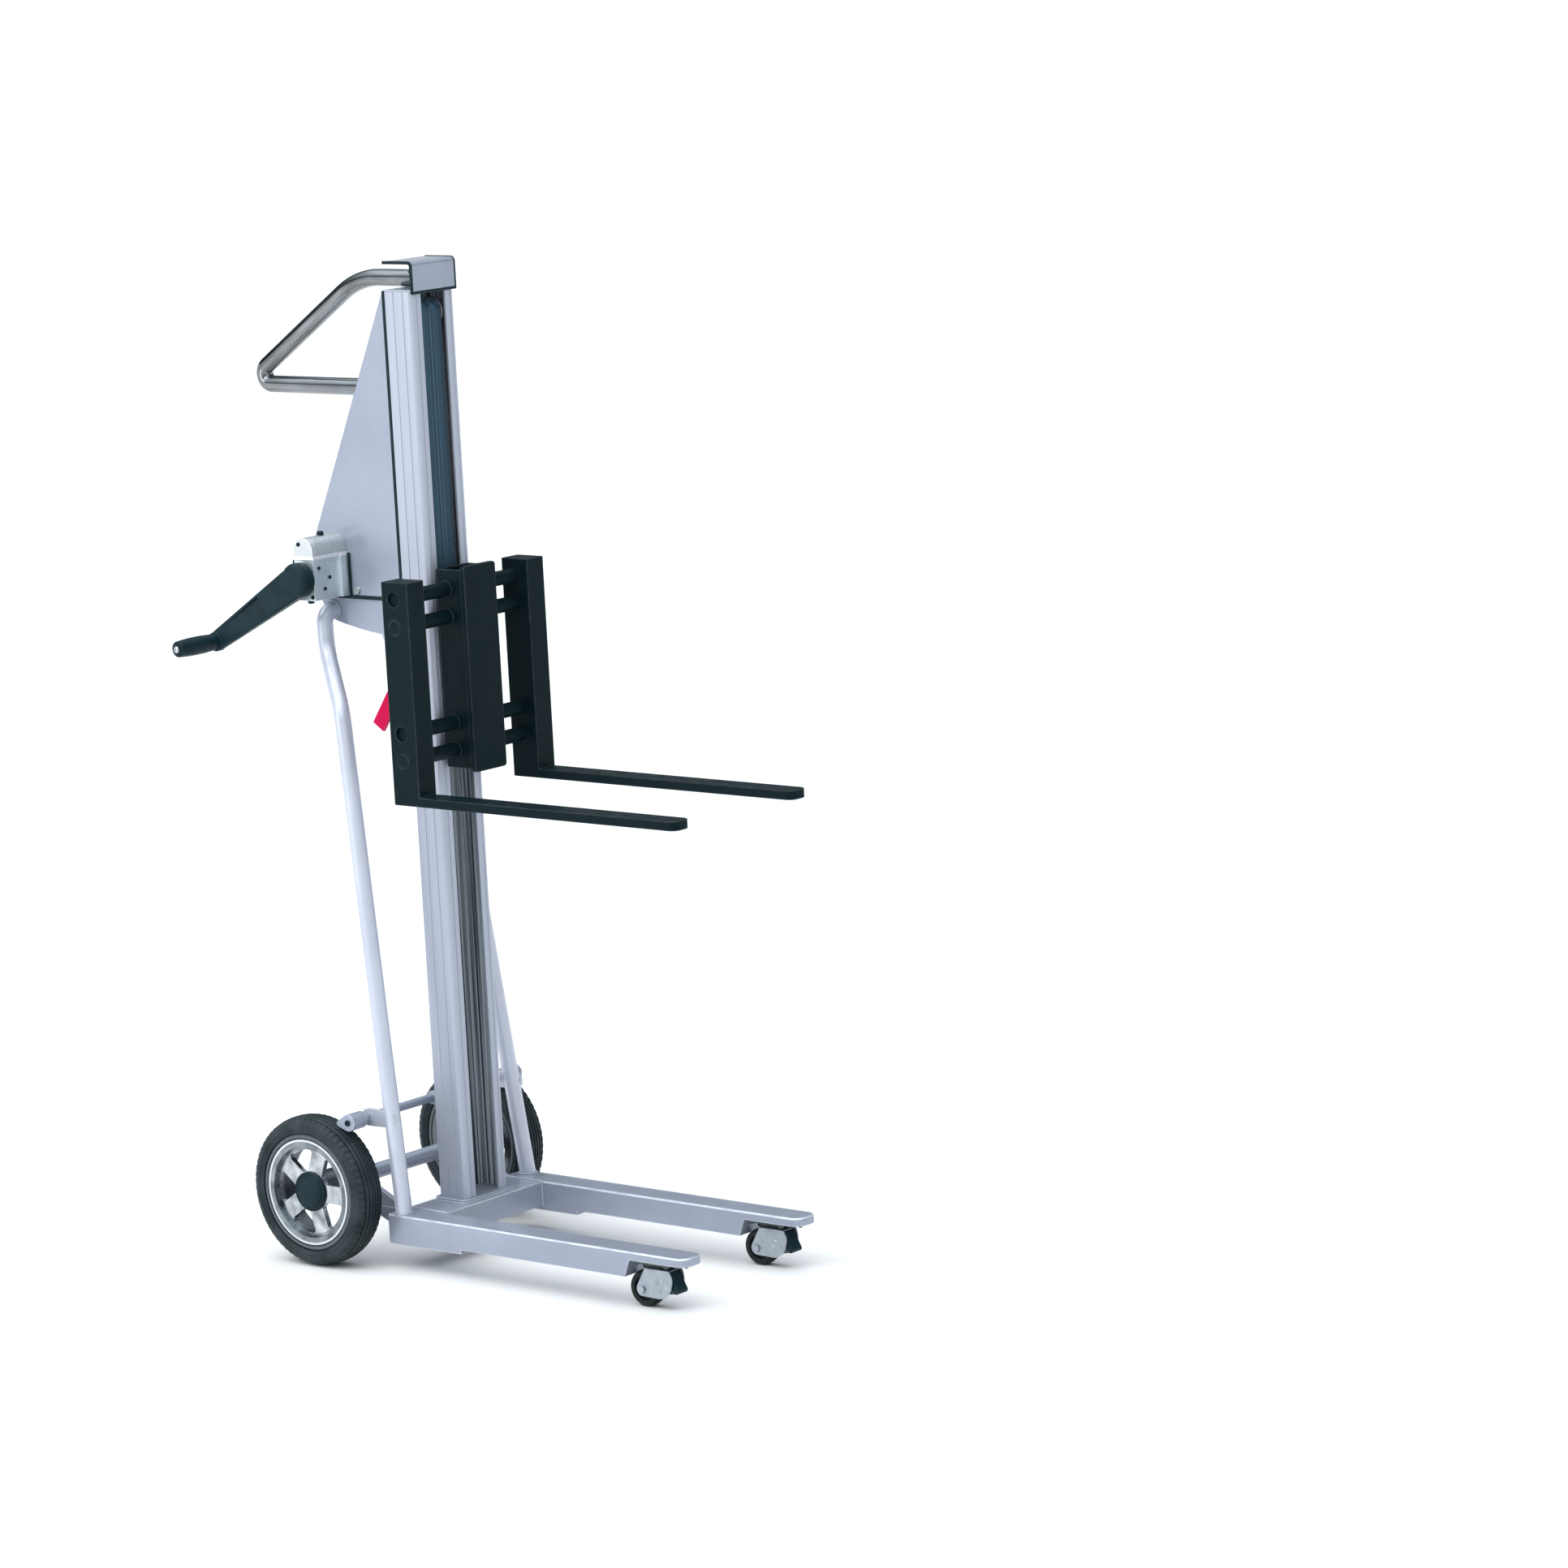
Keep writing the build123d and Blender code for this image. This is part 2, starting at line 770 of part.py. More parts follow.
# Side tubes: from the legs up to the bracket, each with a lug for the brake shaft
for side, word in sides:
    foot_x, foot_y = tube_foot
    bend_x, bend_y = tube_bend
    neck_x, neck_y = tube_neck
    rise = (brake_z - leg_top) / (tube_bend_z - leg_top)
    lug_y = foot_y + (bend_y - foot_y) * rise
    below = (leg_top - tube_radius) - leg_top
    start_x = foot_x + (bend_x - foot_x) * below / (tube_bend_z - leg_top)
    start_y = foot_y + (bend_y - foot_y) * below / (tube_bend_z - leg_top)
    with BuildPart() as side_tube:
        with BuildLine() as route:
            FilletPolyline(
                (side * start_x, start_y, leg_top - tube_radius),
                (side * bend_x, bend_y, tube_bend_z),
                (side * neck_x, neck_y, tube_neck_z),
                (side * neck_x, neck_y, tube_top_z),
                (side * bracket_half, neck_y, tube_top_z),
                radius=[tube_bend_radius, tube_bend_radius, tube_top_radius],
            )
        with BuildSketch(Plane(origin=route.line @ 0, z_dir=route.line % 0)):
            Circle(tube_radius)
        sweep(path=route.line)
        with BuildSketch(side_plane(side * (lug_x + lug_thickness / 2))):
            hull_strip((lug_y, brake_z), tube_radius, (brake_y, brake_z), lug_radius)
        extrude(amount=lug_thickness / 2, both=True)
        with BuildSketch(Plane(origin=route.line @ 0, z_dir=route.line % 0)):
            Circle(tube_radius - tube_wall)
        sweep(path=route.line, mode=Mode.SUBTRACT)
        split(bisect_by=Plane.XY.offset(leg_top), keep=Keep.TOP)
        with BuildSketch(side_plane(side * lug_x)):
            with Locations((brake_y, brake_z)):
                Circle(brake_shaft_radius + run_gap)
        extrude(amount=2 * lug_thickness, both=True, mode=Mode.SUBTRACT)
    save(side_tube, f"{word}_side_tube")

# Rear axle, its bushes and the wheels
with BuildPart() as wheel_axle:
    with BuildSketch(side_plane(0)):
        with Locations((axle_y, axle_z)):
            Circle(axle_radius)
    extrude(amount=hub_inner - run_gap, both=True)
    with BuildSketch(side_plane(0)):
        with Locations((axle_y, axle_z)):
            Circle(spindle_radius)
    extrude(amount=spindle_end, both=True)
save(wheel_axle, "wheel_axle")

with BuildPart() as axle_bushes:
    for side, word in sides:
        for start in (hub_inner, spindle_end - bush_length):
            with BuildSketch(side_plane(side * start)):
                with Locations((axle_y, axle_z)):
                    Circle(bush_radius)
                    Circle(spindle_radius + run_gap, mode=Mode.SUBTRACT)
            extrude(amount=side * bush_length)
save(axle_bushes, "axle_bushes")

for side, word in sides:
    with BuildPart() as rim:
        with BuildSketch(axis_plane(axle_y, axle_z)):
            with BuildLine():
                Polyline(
                    (side * rim_inner, rim_seat_radius - rim_wall),
                    (side * rim_inner, rim_lip_radius),
                    (side * (rim_inner + rim_lip), rim_lip_radius),
                    (side * (rim_inner + rim_lip), rim_seat_radius),
                    (side * (rim_outer - rim_lip), rim_seat_radius),
                    (side * (rim_outer - rim_lip), rim_lip_radius),
                    (side * rim_outer, rim_lip_radius),
                    (side * rim_outer, rim_seat_radius - rim_wall),
                    close=True,
                )
            make_face()
            with BuildLine():
                Polyline(
                    (side * hub_inner, bush_radius + run_gap),
                    (side * hub_inner, hub_radius),
                    (side * hub_outer, hub_radius),
                    (side * hub_outer, bush_radius + run_gap),
                    close=True,
                )
            make_face()
        revolve(axis=x_axis(axle_y, axle_z))
        window_inner = hub_radius + web_ring
        window_outer = rim_seat_radius - rim_wall - web_ring
        with BuildSketch(side_plane(side * (hub_outer - web_thickness))) as web:
            with Locations((axle_y, axle_z)):
                Circle(rim_seat_radius - rim_wall / 2)
                Circle(window_outer, mode=Mode.SUBTRACT)
                Circle(window_inner)
                with PolarLocations(0, spoke_count, start_angle=spoke_angle):
                    with Locations(((window_inner + window_outer) / 2, 0)):
                        Rectangle(window_outer - window_inner + 2 * web_ring, spoke_width)
            corners = web.vertices().filter_by(lambda corner: abs(corner.Y - axle_z) > web_ring / 2)
            fillet(corners, radius=window_corner)
        extrude(amount=side * web_thickness)
        with BuildSketch(side_plane(side * hub_inner)):
            with Locations((axle_y, axle_z)):
                Circle(bush_radius + run_gap)
        extrude(amount=side * tyre_width, mode=Mode.SUBTRACT)
    save(rim, f"{word}_rim")

    tyre_half = tyre_width / 2
    bead_half = tyre_half - rim_inset
    bead_seat = bead_half - rim_lip - run_gap
    bead_inside = rim_lip_radius + slide_gap
    bead_top = bead_inside + bead_height
    sidewall_foot = bead_top + bead_groove
    tread_edge = (tyre_half - tyre_shoulder, wheel_radius - tyre_crown)
    wheel_centre = (side * wheel_mid, axle_y, axle_z)
    with BuildPart() as tyre:
        with BuildSketch(Plane(origin=wheel_centre, x_dir=(1, 0, 0), z_dir=(0, -1, 0))):
            with BuildLine():
                Polyline(
                    (0, wheel_radius),
                    (0, rim_seat_radius + run_gap),
                    (bead_seat, rim_seat_radius + run_gap),
                    (bead_seat, bead_inside),
                    (bead_half, bead_inside),
                    (bead_half, bead_top),
                    (bead_half - bead_groove, bead_top),
                    (bead_half - bead_groove, sidewall_foot),
                    (bead_half, sidewall_foot),
                )
                ThreePointArc(
                    (bead_half, sidewall_foot), (tyre_half, sidewall_foot + sidewall_height), tread_edge
                )
                TangentArc((0, wheel_radius), tread_edge, tangent=(1, 0))
            make_face()
            mirror(about=Plane.YZ)
        revolve(axis=x_axis(axle_y, axle_z))
        with BuildSketch(Plane(origin=wheel_centre, x_dir=(1, 0, 0), z_dir=(0, -1, 0))):
            with Locations((0, wheel_radius)):
                with GridLocations(tread_spacing, 0, 2, 1):
                    Rectangle(tread_groove, 2 * tread_groove)
        revolve(axis=x_axis(axle_y, axle_z), mode=Mode.SUBTRACT)
    save(tyre, f"{word}_tyre")

    with BuildPart() as hub_cap:
        with BuildSketch(axis_plane(axle_y, axle_z)):
            with BuildLine():
                Polyline(
                    (side * (hub_outer + hub_cap_height), 0),
                    (side * hub_outer, 0),
                    (side * hub_outer, hub_cap_radius),
                    (side * (hub_outer + hub_cap_height / 2), hub_cap_radius),
                )
                TangentArc(
                    (side * (hub_outer + hub_cap_height), 0),
                    (side * (hub_outer + hub_cap_height / 2), hub_cap_radius),
                    tangent=(0, 1),
                )
            make_face()
        revolve(axis=x_axis(axle_y, axle_z))
    save(hub_cap, f"{word}_hub_cap")

# Winch: gear case with its end cover, ratchet and pawl
with BuildPart() as winch_case:
    with BuildSketch(side_plane(case_inner_x)):
        case_outline(0)
    extrude(amount=-case_length)
    with BuildSketch(side_plane(case_inner_x)):
        with Locations((crank_y, crank_z + (case_rim_rise - case_below) / 2)):
            Rectangle(2 * (case_half + case_flange_margin), case_rim_rise + case_below)
    extrude(amount=-case_flange)
    with BuildSketch(side_plane(case_inner_x)):
        with Locations((crank_y, crank_z + case_rim_rise)):
            Rectangle(2 * (case_half + case_rim_margin), case_rim_height)
    extrude(amount=-case_length)
    with BuildSketch(side_plane(case_outer_x)):
        case_outline(case_wall)
    extrude(amount=case_length - case_wall, mode=Mode.SUBTRACT)
    with BuildSketch(side_plane(case_inner_x)):
        with Locations((crank_y, crank_z)):
            Circle(shaft_radius + run_gap)
    extrude(amount=-case_length, mode=Mode.SUBTRACT)
    with BuildSketch(side_plane(case_inner_x)):
        with Locations((crank_y, crank_z + pawl_rise)):
            Circle(pawl_pin_radius)
    extrude(amount=ratchet_x - case_inner_x)
save(winch_case, "winch_case")

with BuildPart() as winch_cover:
    with BuildSketch(side_plane(case_outer_x)):
        case_outline(0)
        with Locations((crank_y, crank_z)):
            Circle(shaft_radius + run_gap, mode=Mode.SUBTRACT)
    extrude(amount=-case_cover)
    with BuildSketch(side_plane(case_outer_x)):
        with Locations((crank_y, crank_z + case_rim_rise)):
            Rectangle(2 * (case_half + case_rim_margin), case_rim_height)
    extrude(amount=-case_cover - case_rim_margin)
save(winch_cover, "winch_cover")

with BuildPart() as winch_knobs:
    case_top = crank_z + case_above
    with BuildSketch(Plane.XY.offset(case_top)):
        with Locations((case_inner_x - case_length / 2, crank_y)):
            Circle(knob_radius)
    extrude(amount=knob_height, taper=10)
    with BuildSketch(Plane.XY.offset(crank_z - case_below)):
        with Locations((cover_outer_x + 2 * knob_radius, crank_y)):
            Circle(knob_radius)
    extrude(amount=-knob_height, taper=10)
    with BuildSketch(Plane.XZ.offset(-(crank_y - case_half))):
        with Locations(
            (case_outer_x + 3 * knob_radius, crank_z - case_below / 2),
            (case_outer_x + 5 * knob_radius, crank_z),
            (case_outer_x + knob_radius, crank_z + case_below / 2),
        ):
            Circle(knob_radius / 2)
    extrude(amount=knob_height / 3)
    with BuildSketch(Plane.XZ.offset(-(crank_y + case_half))):
        with Locations(
            (cover_outer_x + 2 * knob_radius, crank_z + case_rim_rise - case_rim_height / 2 - knob_radius),
            (cover_outer_x + 3 * knob_radius, crank_z + case_above - case_half - knob_height / 2),
        ):
            Circle(knob_radius * 2 / 3)
    extrude(amount=-rear_knob_length)
save(winch_knobs, "winch_knobs")

with BuildPart() as ratchet_wheel:
    teeth = []
    for tooth in range(ratchet_teeth):
        angle = 2 * pi * tooth / ratchet_teeth
        teeth.append(polar(ratchet_root, angle))
        teeth.append(polar(ratchet_radius, angle))
    with BuildSketch(side_plane(ratchet_x)):
        with BuildLine():
            Polyline(*[(crank_y + dy, crank_z + dz) for dy, dz in teeth], close=True)
        make_face()
        with Locations((crank_y, crank_z)):
            Circle(shaft_radius + run_gap, mode=Mode.SUBTRACT)
    extrude(amount=ratchet_width)
save(ratchet_wheel, "ratchet_wheel")

with BuildPart() as pawl:
    with BuildSketch(side_plane(ratchet_x + pawl_inset)):
        with BuildLine():
            Polyline(*[(crank_y + dy, crank_z + dz) for dy, dz in pawl_outline], close=True)
        make_face()
        with Locations((crank_y, crank_z + pawl_rise)):
            Circle(pawl_boss_radius)
            Circle(pawl_pin_radius + run_gap, mode=Mode.SUBTRACT)
    extrude(amount=ratchet_width - 2 * pawl_inset)
save(pawl, "pawl")

# Crank shaft with its brake flange and pinion
with BuildPart() as crank_shaft:
    with BuildSketch(side_plane(hub_outer_x + hub_floor + run_gap)):
        with Locations((crank_y, crank_z)):
            Circle(shaft_radius)
    extrude(amount=pinion_inner_x - hub_outer_x - hub_floor - run_gap)
    with BuildSketch(side_plane(ratchet_x + ratchet_width + slide_gap)):
        with Locations((crank_y, crank_z)):
            Circle(brake_flange_radius)
    extrude(amount=brake_flange)
    pinion = gear_outline(pinion_teeth, pinion_tip, pinion_root, pinion_phase)
    with BuildSketch(side_plane(pinion_inner_x)):
        with BuildLine():
            Polyline(*[(crank_y + dy, crank_z + dz) for dy, dz in pinion], close=True)
        make_face()
    extrude(amount=-pinion_width)
save(crank_shaft, "crank_shaft")

# Crank arm: a hub, an arm that leans outwards to clear the fork shank, and a boss for the grip
arm_way = (0, cos(radians(crank_droop)), -sin(radians(crank_droop)))


def arm_plane(x, distance):
    """A plane square to the crank arm, at a distance from the crank axis, with +X to its right."""
    origin = (x, crank_y + distance * arm_way[1], crank_z + distance * arm_way[2])
    return Plane(origin=origin, x_dir=(1, 0, 0), z_dir=arm_way)


with BuildPart() as crank_arm:
    with BuildSketch(arm_plane(arm_root_x, 0)):
        RectangleRounded(arm_root_thickness, arm_root_width, arm_corner)
    with BuildSketch(arm_plane(arm_tip_x, crank_radius)):
        RectangleRounded(arm_tip_thickness, arm_tip_width, arm_corner)
    loft()
    with BuildSketch(arm_plane(arm_root_x, hub_crank_radius + arm_corner)):
        with Locations((-arm_root_thickness / 2, 0)):
            Rectangle(2 * arm_recess, arm_root_width - 2 * arm_rail)
    with BuildSketch(arm_plane(arm_tip_x, crank_radius - arm_boss_radius - arm_corner)):
        with Locations((-arm_tip_thickness / 2, 0)):
            Rectangle(2 * arm_recess, arm_tip_width - 2 * arm_rail)
    loft(mode=Mode.SUBTRACT)
    with BuildSketch(axis_plane(crank_y, crank_z)) as hub_profile:
        with Locations((arm_root_x, hub_crank_radius / 2)):
            Rectangle(hub_crank_length, hub_crank_radius)
        fillet(hub_profile.vertices().group_by(Axis.Y)[-1], radius=hub_round)
    revolve(axis=x_axis(crank_y, crank_z))
    with BuildSketch(axis_plane(grip_y, grip_z)) as boss_profile:
        with Locations((arm_tip_x, arm_boss_radius / 2)):
            Rectangle(arm_tip_thickness, arm_boss_radius)
        fillet(boss_profile.vertices().group_by(Axis.Y)[-1], radius=boss_round)
    revolve(axis=x_axis(grip_y, grip_z))
    with BuildSketch(side_plane(hub_inner_x)):
        with Locations((crank_y, crank_z)):
            Circle(shaft_radius + run_gap)
    extrude(amount=-hub_crank_length + hub_floor, mode=Mode.SUBTRACT)
    with BuildSketch(side_plane(boss_inner_x)):
        with Locations((grip_y, grip_z)):
            Circle(grip_pin_radius + run_gap)
    extrude(amount=boss_outer_x - boss_inner_x, mode=Mode.SUBTRACT)
save(crank_arm, "crank_arm")

with BuildPart() as grip_spindle:
    with BuildSketch(side_plane(boss_inner_x)):
        with Locations((grip_y, grip_z)):
            Circle(grip_pin_radius)
    extrude(amount=grip_end_x - slide_gap - boss_inner_x)
    with BuildSketch(side_plane(grip_end_x - slide_gap)):
        with Locations((grip_y, grip_z)):
            Circle(grip_screw_radius)
    extrude(amount=-grip_screw_height)
save(grip_spindle, "grip_spindle")

with BuildPart() as crank_grip:
    with BuildSketch(axis_plane(grip_y, grip_z)):
        with BuildLine():
            Polyline(
                (grip_start_x, grip_waist),
                (grip_start_x, grip_pin_radius + run_gap),
                (grip_end_x, grip_pin_radius + run_gap),
                (grip_end_x, grip_waist),
            )
            ThreePointArc(
                (grip_end_x, grip_waist),
                ((grip_start_x + grip_end_x) / 2, grip_radius),
                (grip_start_x, grip_waist),
            )
        make_face()
    revolve(axis=x_axis(grip_y, grip_z))
save(crank_grip, "crank_grip")

# Drum on its axle, with its gear and the wound belt
with BuildPart() as drum_axle:
    with BuildSketch(side_plane(0)):
        with Locations((drum_y, drum_z)):
            Circle(drum_axle_radius)
    extrude(amount=bracket_half, both=True)
save(drum_axle, "drum_axle")

with BuildPart() as drum:
    with BuildSketch(axis_plane(drum_y, drum_z)):
        with BuildLine():
            Polyline(
                (-drum_half, drum_axle_radius + run_gap),
                (-drum_half, drum_core_radius),
                (drum_half, drum_core_radius),
                (drum_half, drum_flange_radius),
                (drum_half + drum_flange, drum_flange_radius),
                (drum_half + drum_flange, drum_axle_radius + run_gap),
                close=True,
            )
        make_face()
    revolve(axis=x_axis(drum_y, drum_z))
save(drum, "drum")

with BuildPart() as drum_gear:
    teeth = gear_outline(gear_teeth, gear_tip, gear_root, gear_phase)
    with BuildSketch(side_plane(-drum_half)):
        with BuildLine():
            Polyline(*[(drum_y + dy, drum_z + dz) for dy, dz in teeth], close=True)
        make_face()
        with Locations((drum_y, drum_z)):
            Circle(drum_axle_radius + run_gap, mode=Mode.SUBTRACT)
    extrude(amount=-gear_width)
save(drum_gear, "drum_gear")

with BuildPart() as belt_coil:
    with BuildSketch(side_plane(0)):
        with Locations((drum_y, drum_z)):
            Circle(coil_radius)
            Circle(drum_core_radius + run_gap, mode=Mode.SUBTRACT)
    extrude(amount=belt_width / 2, both=True)
save(belt_coil, "belt_coil")

# Belt: the rear run leaves the drum, passes the mast's window and goes over the top pulley
reach_y = drum_y
reach_z = drum_z - pulley_z
lean = atan2(reach_z, reach_y) + acos((pulley_belt_radius + drum_belt_radius) / hypot(reach_y, reach_z))


def belt_points(radius_step):
    """Where one face of the belt leaves the pulley and meets the drum."""
    pulley_side = polar(pulley_belt_radius + radius_step, lean)
    drum_side = polar(drum_belt_radius - radius_step, lean)
    return (
        (pulley_side[0], pulley_z + pulley_side[1]),
        (drum_y - drum_side[0], drum_z - drum_side[1]),
    )


with BuildPart() as belt_rear_run:
    outer_leave, outer_meet = belt_points(belt_thickness / 2)
    inner_leave, inner_meet = belt_points(-belt_thickness / 2)
    outer_radius = pulley_belt_radius + belt_thickness / 2
    inner_radius = pulley_belt_radius - belt_thickness / 2
    with BuildSketch(side_plane(0)):
        with BuildLine():
            ThreePointArc((-outer_radius, pulley_z), (0, pulley_z + outer_radius), outer_leave)
            Polyline(outer_leave, outer_meet, inner_meet, inner_leave)
            ThreePointArc(inner_leave, (0, pulley_z + inner_radius), (-inner_radius, pulley_z))
            Line((-inner_radius, pulley_z), (-outer_radius, pulley_z))
        make_face()
    extrude(amount=belt_width / 2, both=True)
save(belt_rear_run, "belt_rear_run")

with BuildPart() as belt_front_run:
    with BuildSketch(Plane.XY.offset(clamp_top)):
        with Locations((0, -pulley_belt_radius)):
            Rectangle(belt_width, belt_thickness)
    extrude(amount=pulley_z - clamp_top)
save(belt_front_run, "belt_front_run")

# Carriage: a welded box with two tongues that reach through the mast's slot
with BuildPart() as carriage_frame:
    plate_back = plate_front + plate_thickness
    with BuildSketch(Plane.XZ.offset(-plate_back)):
        with Locations((0, (plate_bottom + plate_top) / 2)):
            RectangleRounded(plate_width, plate_height, plate_corner)
    extrude(amount=plate_thickness)
    with BuildSketch(Plane.XY.offset(plate_bottom + plate_corner)):
        for side, word in sides:
            with Locations((side * (plate_width - cheek_thickness) / 2, (plate_back + carriage_rear) / 2)):
                Rectangle(cheek_thickness, carriage_rear - plate_back)
        with Locations((0, carriage_rear - cheek_thickness / 2)):
            Rectangle(plate_width, cheek_thickness)
    extrude(amount=plate_height - 2 * plate_corner)
    with BuildSketch(Plane.XY.offset(tongue_bottom)):
        for side, word in sides:
            with Locations((side * (tongue_half - tongue_thickness / 2), (carriage_rear + tongue_reach) / 2)):
                Rectangle(tongue_thickness, tongue_reach - carriage_rear)
    extrude(amount=tongue_top - tongue_bottom)
    with BuildSketch(side_plane(0)):
        with Locations(*[(bar_y, z) for z in bar_heights]):
            Circle(bar_radius + run_gap)
        with Locations(*[(0, z) for z in roller_heights]):
            Circle(roller_axle_radius + run_gap)
    extrude(amount=plate_width, both=True, mode=Mode.SUBTRACT)
save(carriage_frame, "carriage_frame")

with BuildPart() as belt_clamp:
    with BuildSketch(Plane.XY.offset(tongue_top)):
        with Locations((0, carriage_rear + clamp_depth / 2)):
            Rectangle(2 * tongue_half, clamp_depth)
    extrude(amount=clamp_height)
save(belt_clamp, "belt_clamp")

with BuildPart() as carriage_bars:
    for level, height in enumerate(bar_heights):
        reach = fork_x + fork_width / 2 - bar_recess * (level % 2 == 0)
        with BuildSketch(side_plane(0)):
            with Locations((bar_y, height)):
                Circle(bar_radius)
        extrude(amount=reach, both=True)
save(carriage_bars, "carriage_bars")

with BuildPart() as roller_axles:
    for height in roller_heights:
        with BuildSketch(side_plane(0)):
            with Locations((0, height)):
                Circle(roller_axle_radius)
        extrude(amount=roller_inner + roller_width + slide_gap, both=True)
save(roller_axles, "roller_axles")

for height, word in zip(roller_heights, ("upper", "lower")):
    with BuildPart() as rollers:
        for side, side_word in sides:
            with BuildSketch(side_plane(side * roller_inner)):
                with Locations((0, height)):
                    Circle(roller_radius)
                    Circle(roller_axle_radius + run_gap, mode=Mode.SUBTRACT)
            extrude(amount=side * roller_width)
    save(rollers, f"{word}_rollers")

for side, word in sides:
    with BuildPart() as fork:
        with BuildSketch(side_plane(side * fork_x)) as profile:
            with BuildLine():
                Polyline(
                    (fork_rear, fork_bottom),
                    (fork_tip, fork_bottom),
                    (fork_tip, fork_bottom + fork_thickness),
                    (fork_front, fork_bottom + fork_thickness),
                    (fork_front, fork_bottom + fork_height),
                    (fork_rear, fork_bottom + fork_height),
                    close=True,
                )
            make_face()
        extrude(amount=fork_width / 2, both=True)
        fillet(fork.edges().filter_by(Axis.Z).group_by(Axis.Y)[0], radius=fork_tip_corner)
        with BuildSketch(side_plane(side * fork_x)):
            with Locations(*[(bar_y, z) for z in bar_heights]):
                Circle(bar_radius + run_gap)
        extrude(amount=fork_width, both=True, mode=Mode.SUBTRACT)
    save(fork, f"{word}_fork")

# Casters: a bolted plate with its swivel head, a yoke, a wheel on its axle and a brake pedal
for side, word in sides:
    caster_x = side * leg_x
    with BuildPart() as caster_plate:
        with BuildSketch(Plane.XY.offset(caster_plate_bottom)):
            with Locations((caster_x, caster_y)):
                Rectangle(leg_width, caster_plate_length)
                with GridLocations(
                    leg_width - 2 * bolt_inset_x, caster_plate_length - 2 * bolt_inset_y, 2, 2
                ):
                    Circle(bolt_radius + run_gap, mode=Mode.SUBTRACT)
        extrude(amount=caster_plate_thickness)
        with BuildSketch(Plane.XY.offset(caster_plate_bottom)):
            with Locations((caster_x, caster_y)):
                Circle(caster_head_radius)
        extrude(amount=-caster_head_height / 2)
        with BuildSketch(Plane.XY.offset(caster_plate_bottom)):
            with Locations((caster_x, caster_y)):
                Circle(caster_race_radius)
        extrude(amount=-caster_head_height)
        with BuildSketch(Plane.XY.offset(yoke_top)):
            with Locations((caster_x, caster_y)):
                Circle(stud_radius + run_gap)
        extrude(amount=caster_head_height, mode=Mode.SUBTRACT)
    save(caster_plate, f"{word}_caster_plate")

    with BuildPart() as caster_yoke:
        crown_top = yoke_top - slide_gap
        with BuildSketch(side_plane(caster_x)):
            hull_strip(
                (caster_wheel_y, caster_radius),
                yoke_end_radius,
                (caster_y - cheek_lead, cheek_height),
                cheek_radius,
            )
        extrude(amount=yoke_half + yoke_sheet, both=True)
        split(bisect_by=Plane.XY.offset(crown_top), keep=Keep.BOTTOM)
        with BuildSketch(Plane.XY.offset(crown_top)):
            with Locations((caster_x, caster_y)):
                Circle(stud_radius)
        extrude(amount=caster_head_height)
        with BuildSketch(side_plane(caster_x)):
            with Locations((caster_y, (crown_top - yoke_sheet) / 2)):
                Rectangle(4 * caster_radius, crown_top - yoke_sheet)
        extrude(amount=yoke_half, both=True, mode=Mode.SUBTRACT)
        with BuildSketch(side_plane(caster_x)):
            with Locations((pedal_y, pedal_z)):
                Circle(pedal_pin_radius)
        extrude(amount=yoke_half + yoke_sheet, both=True)
        with BuildSketch(side_plane(caster_x)):
            with Locations((caster_wheel_y, caster_radius)):
                Circle(caster_axle_radius + run_gap)
        extrude(amount=caster_width, both=True, mode=Mode.SUBTRACT)
    save(caster_yoke, f"{word}_caster_yoke")

    with BuildPart() as caster_axle:
        with BuildSketch(side_plane(caster_x)):
            with Locations((caster_wheel_y, caster_radius)):
                Circle(caster_axle_radius)
        extrude(amount=yoke_half + yoke_sheet, both=True)
        for end in (-1, 1):
            with BuildSketch(side_plane(caster_x + end * (yoke_half + yoke_sheet))):
                with Locations((caster_wheel_y, caster_radius)):
                    RegularPolygon(axle_nut_radius, 6)
            extrude(amount=end * axle_nut_height)
    save(caster_axle, f"{word}_caster_axle")

    with BuildPart() as caster_wheel:
        with BuildSketch(axis_plane(caster_wheel_y, caster_radius)):
            with BuildLine():
                Polyline(
                    (caster_x - caster_width / 2, caster_radius - caster_crown),
                    (caster_x - caster_width / 2, caster_axle_radius + run_gap),
                    (caster_x + caster_width / 2, caster_axle_radius + run_gap),
                    (caster_x + caster_width / 2, caster_radius - caster_crown),
                )
                ThreePointArc(
                    (caster_x + caster_width / 2, caster_radius - caster_crown),
                    (caster_x, caster_radius),
                    (caster_x - caster_width / 2, caster_radius - caster_crown),
                )
            make_face()
        revolve(axis=x_axis(caster_wheel_y, caster_radius))
    save(caster_wheel, f"{word}_caster_wheel")

    with BuildPart() as caster_pedal:
        with BuildSketch(side_plane(caster_x)):
            hull_strip(
                (pedal_y, pedal_z),
                pedal_boss_radius,
                (pedal_y - pedal_reach, pedal_z - pedal_drop),
                pedal_tip_radius,
            )
            with Locations((pedal_y, pedal_z)):
                Circle(pedal_pin_radius + run_gap, mode=Mode.SUBTRACT)
        extrude(amount=pedal_width / 2, both=True)
    save(caster_pedal, f"{word}_caster_pedal")

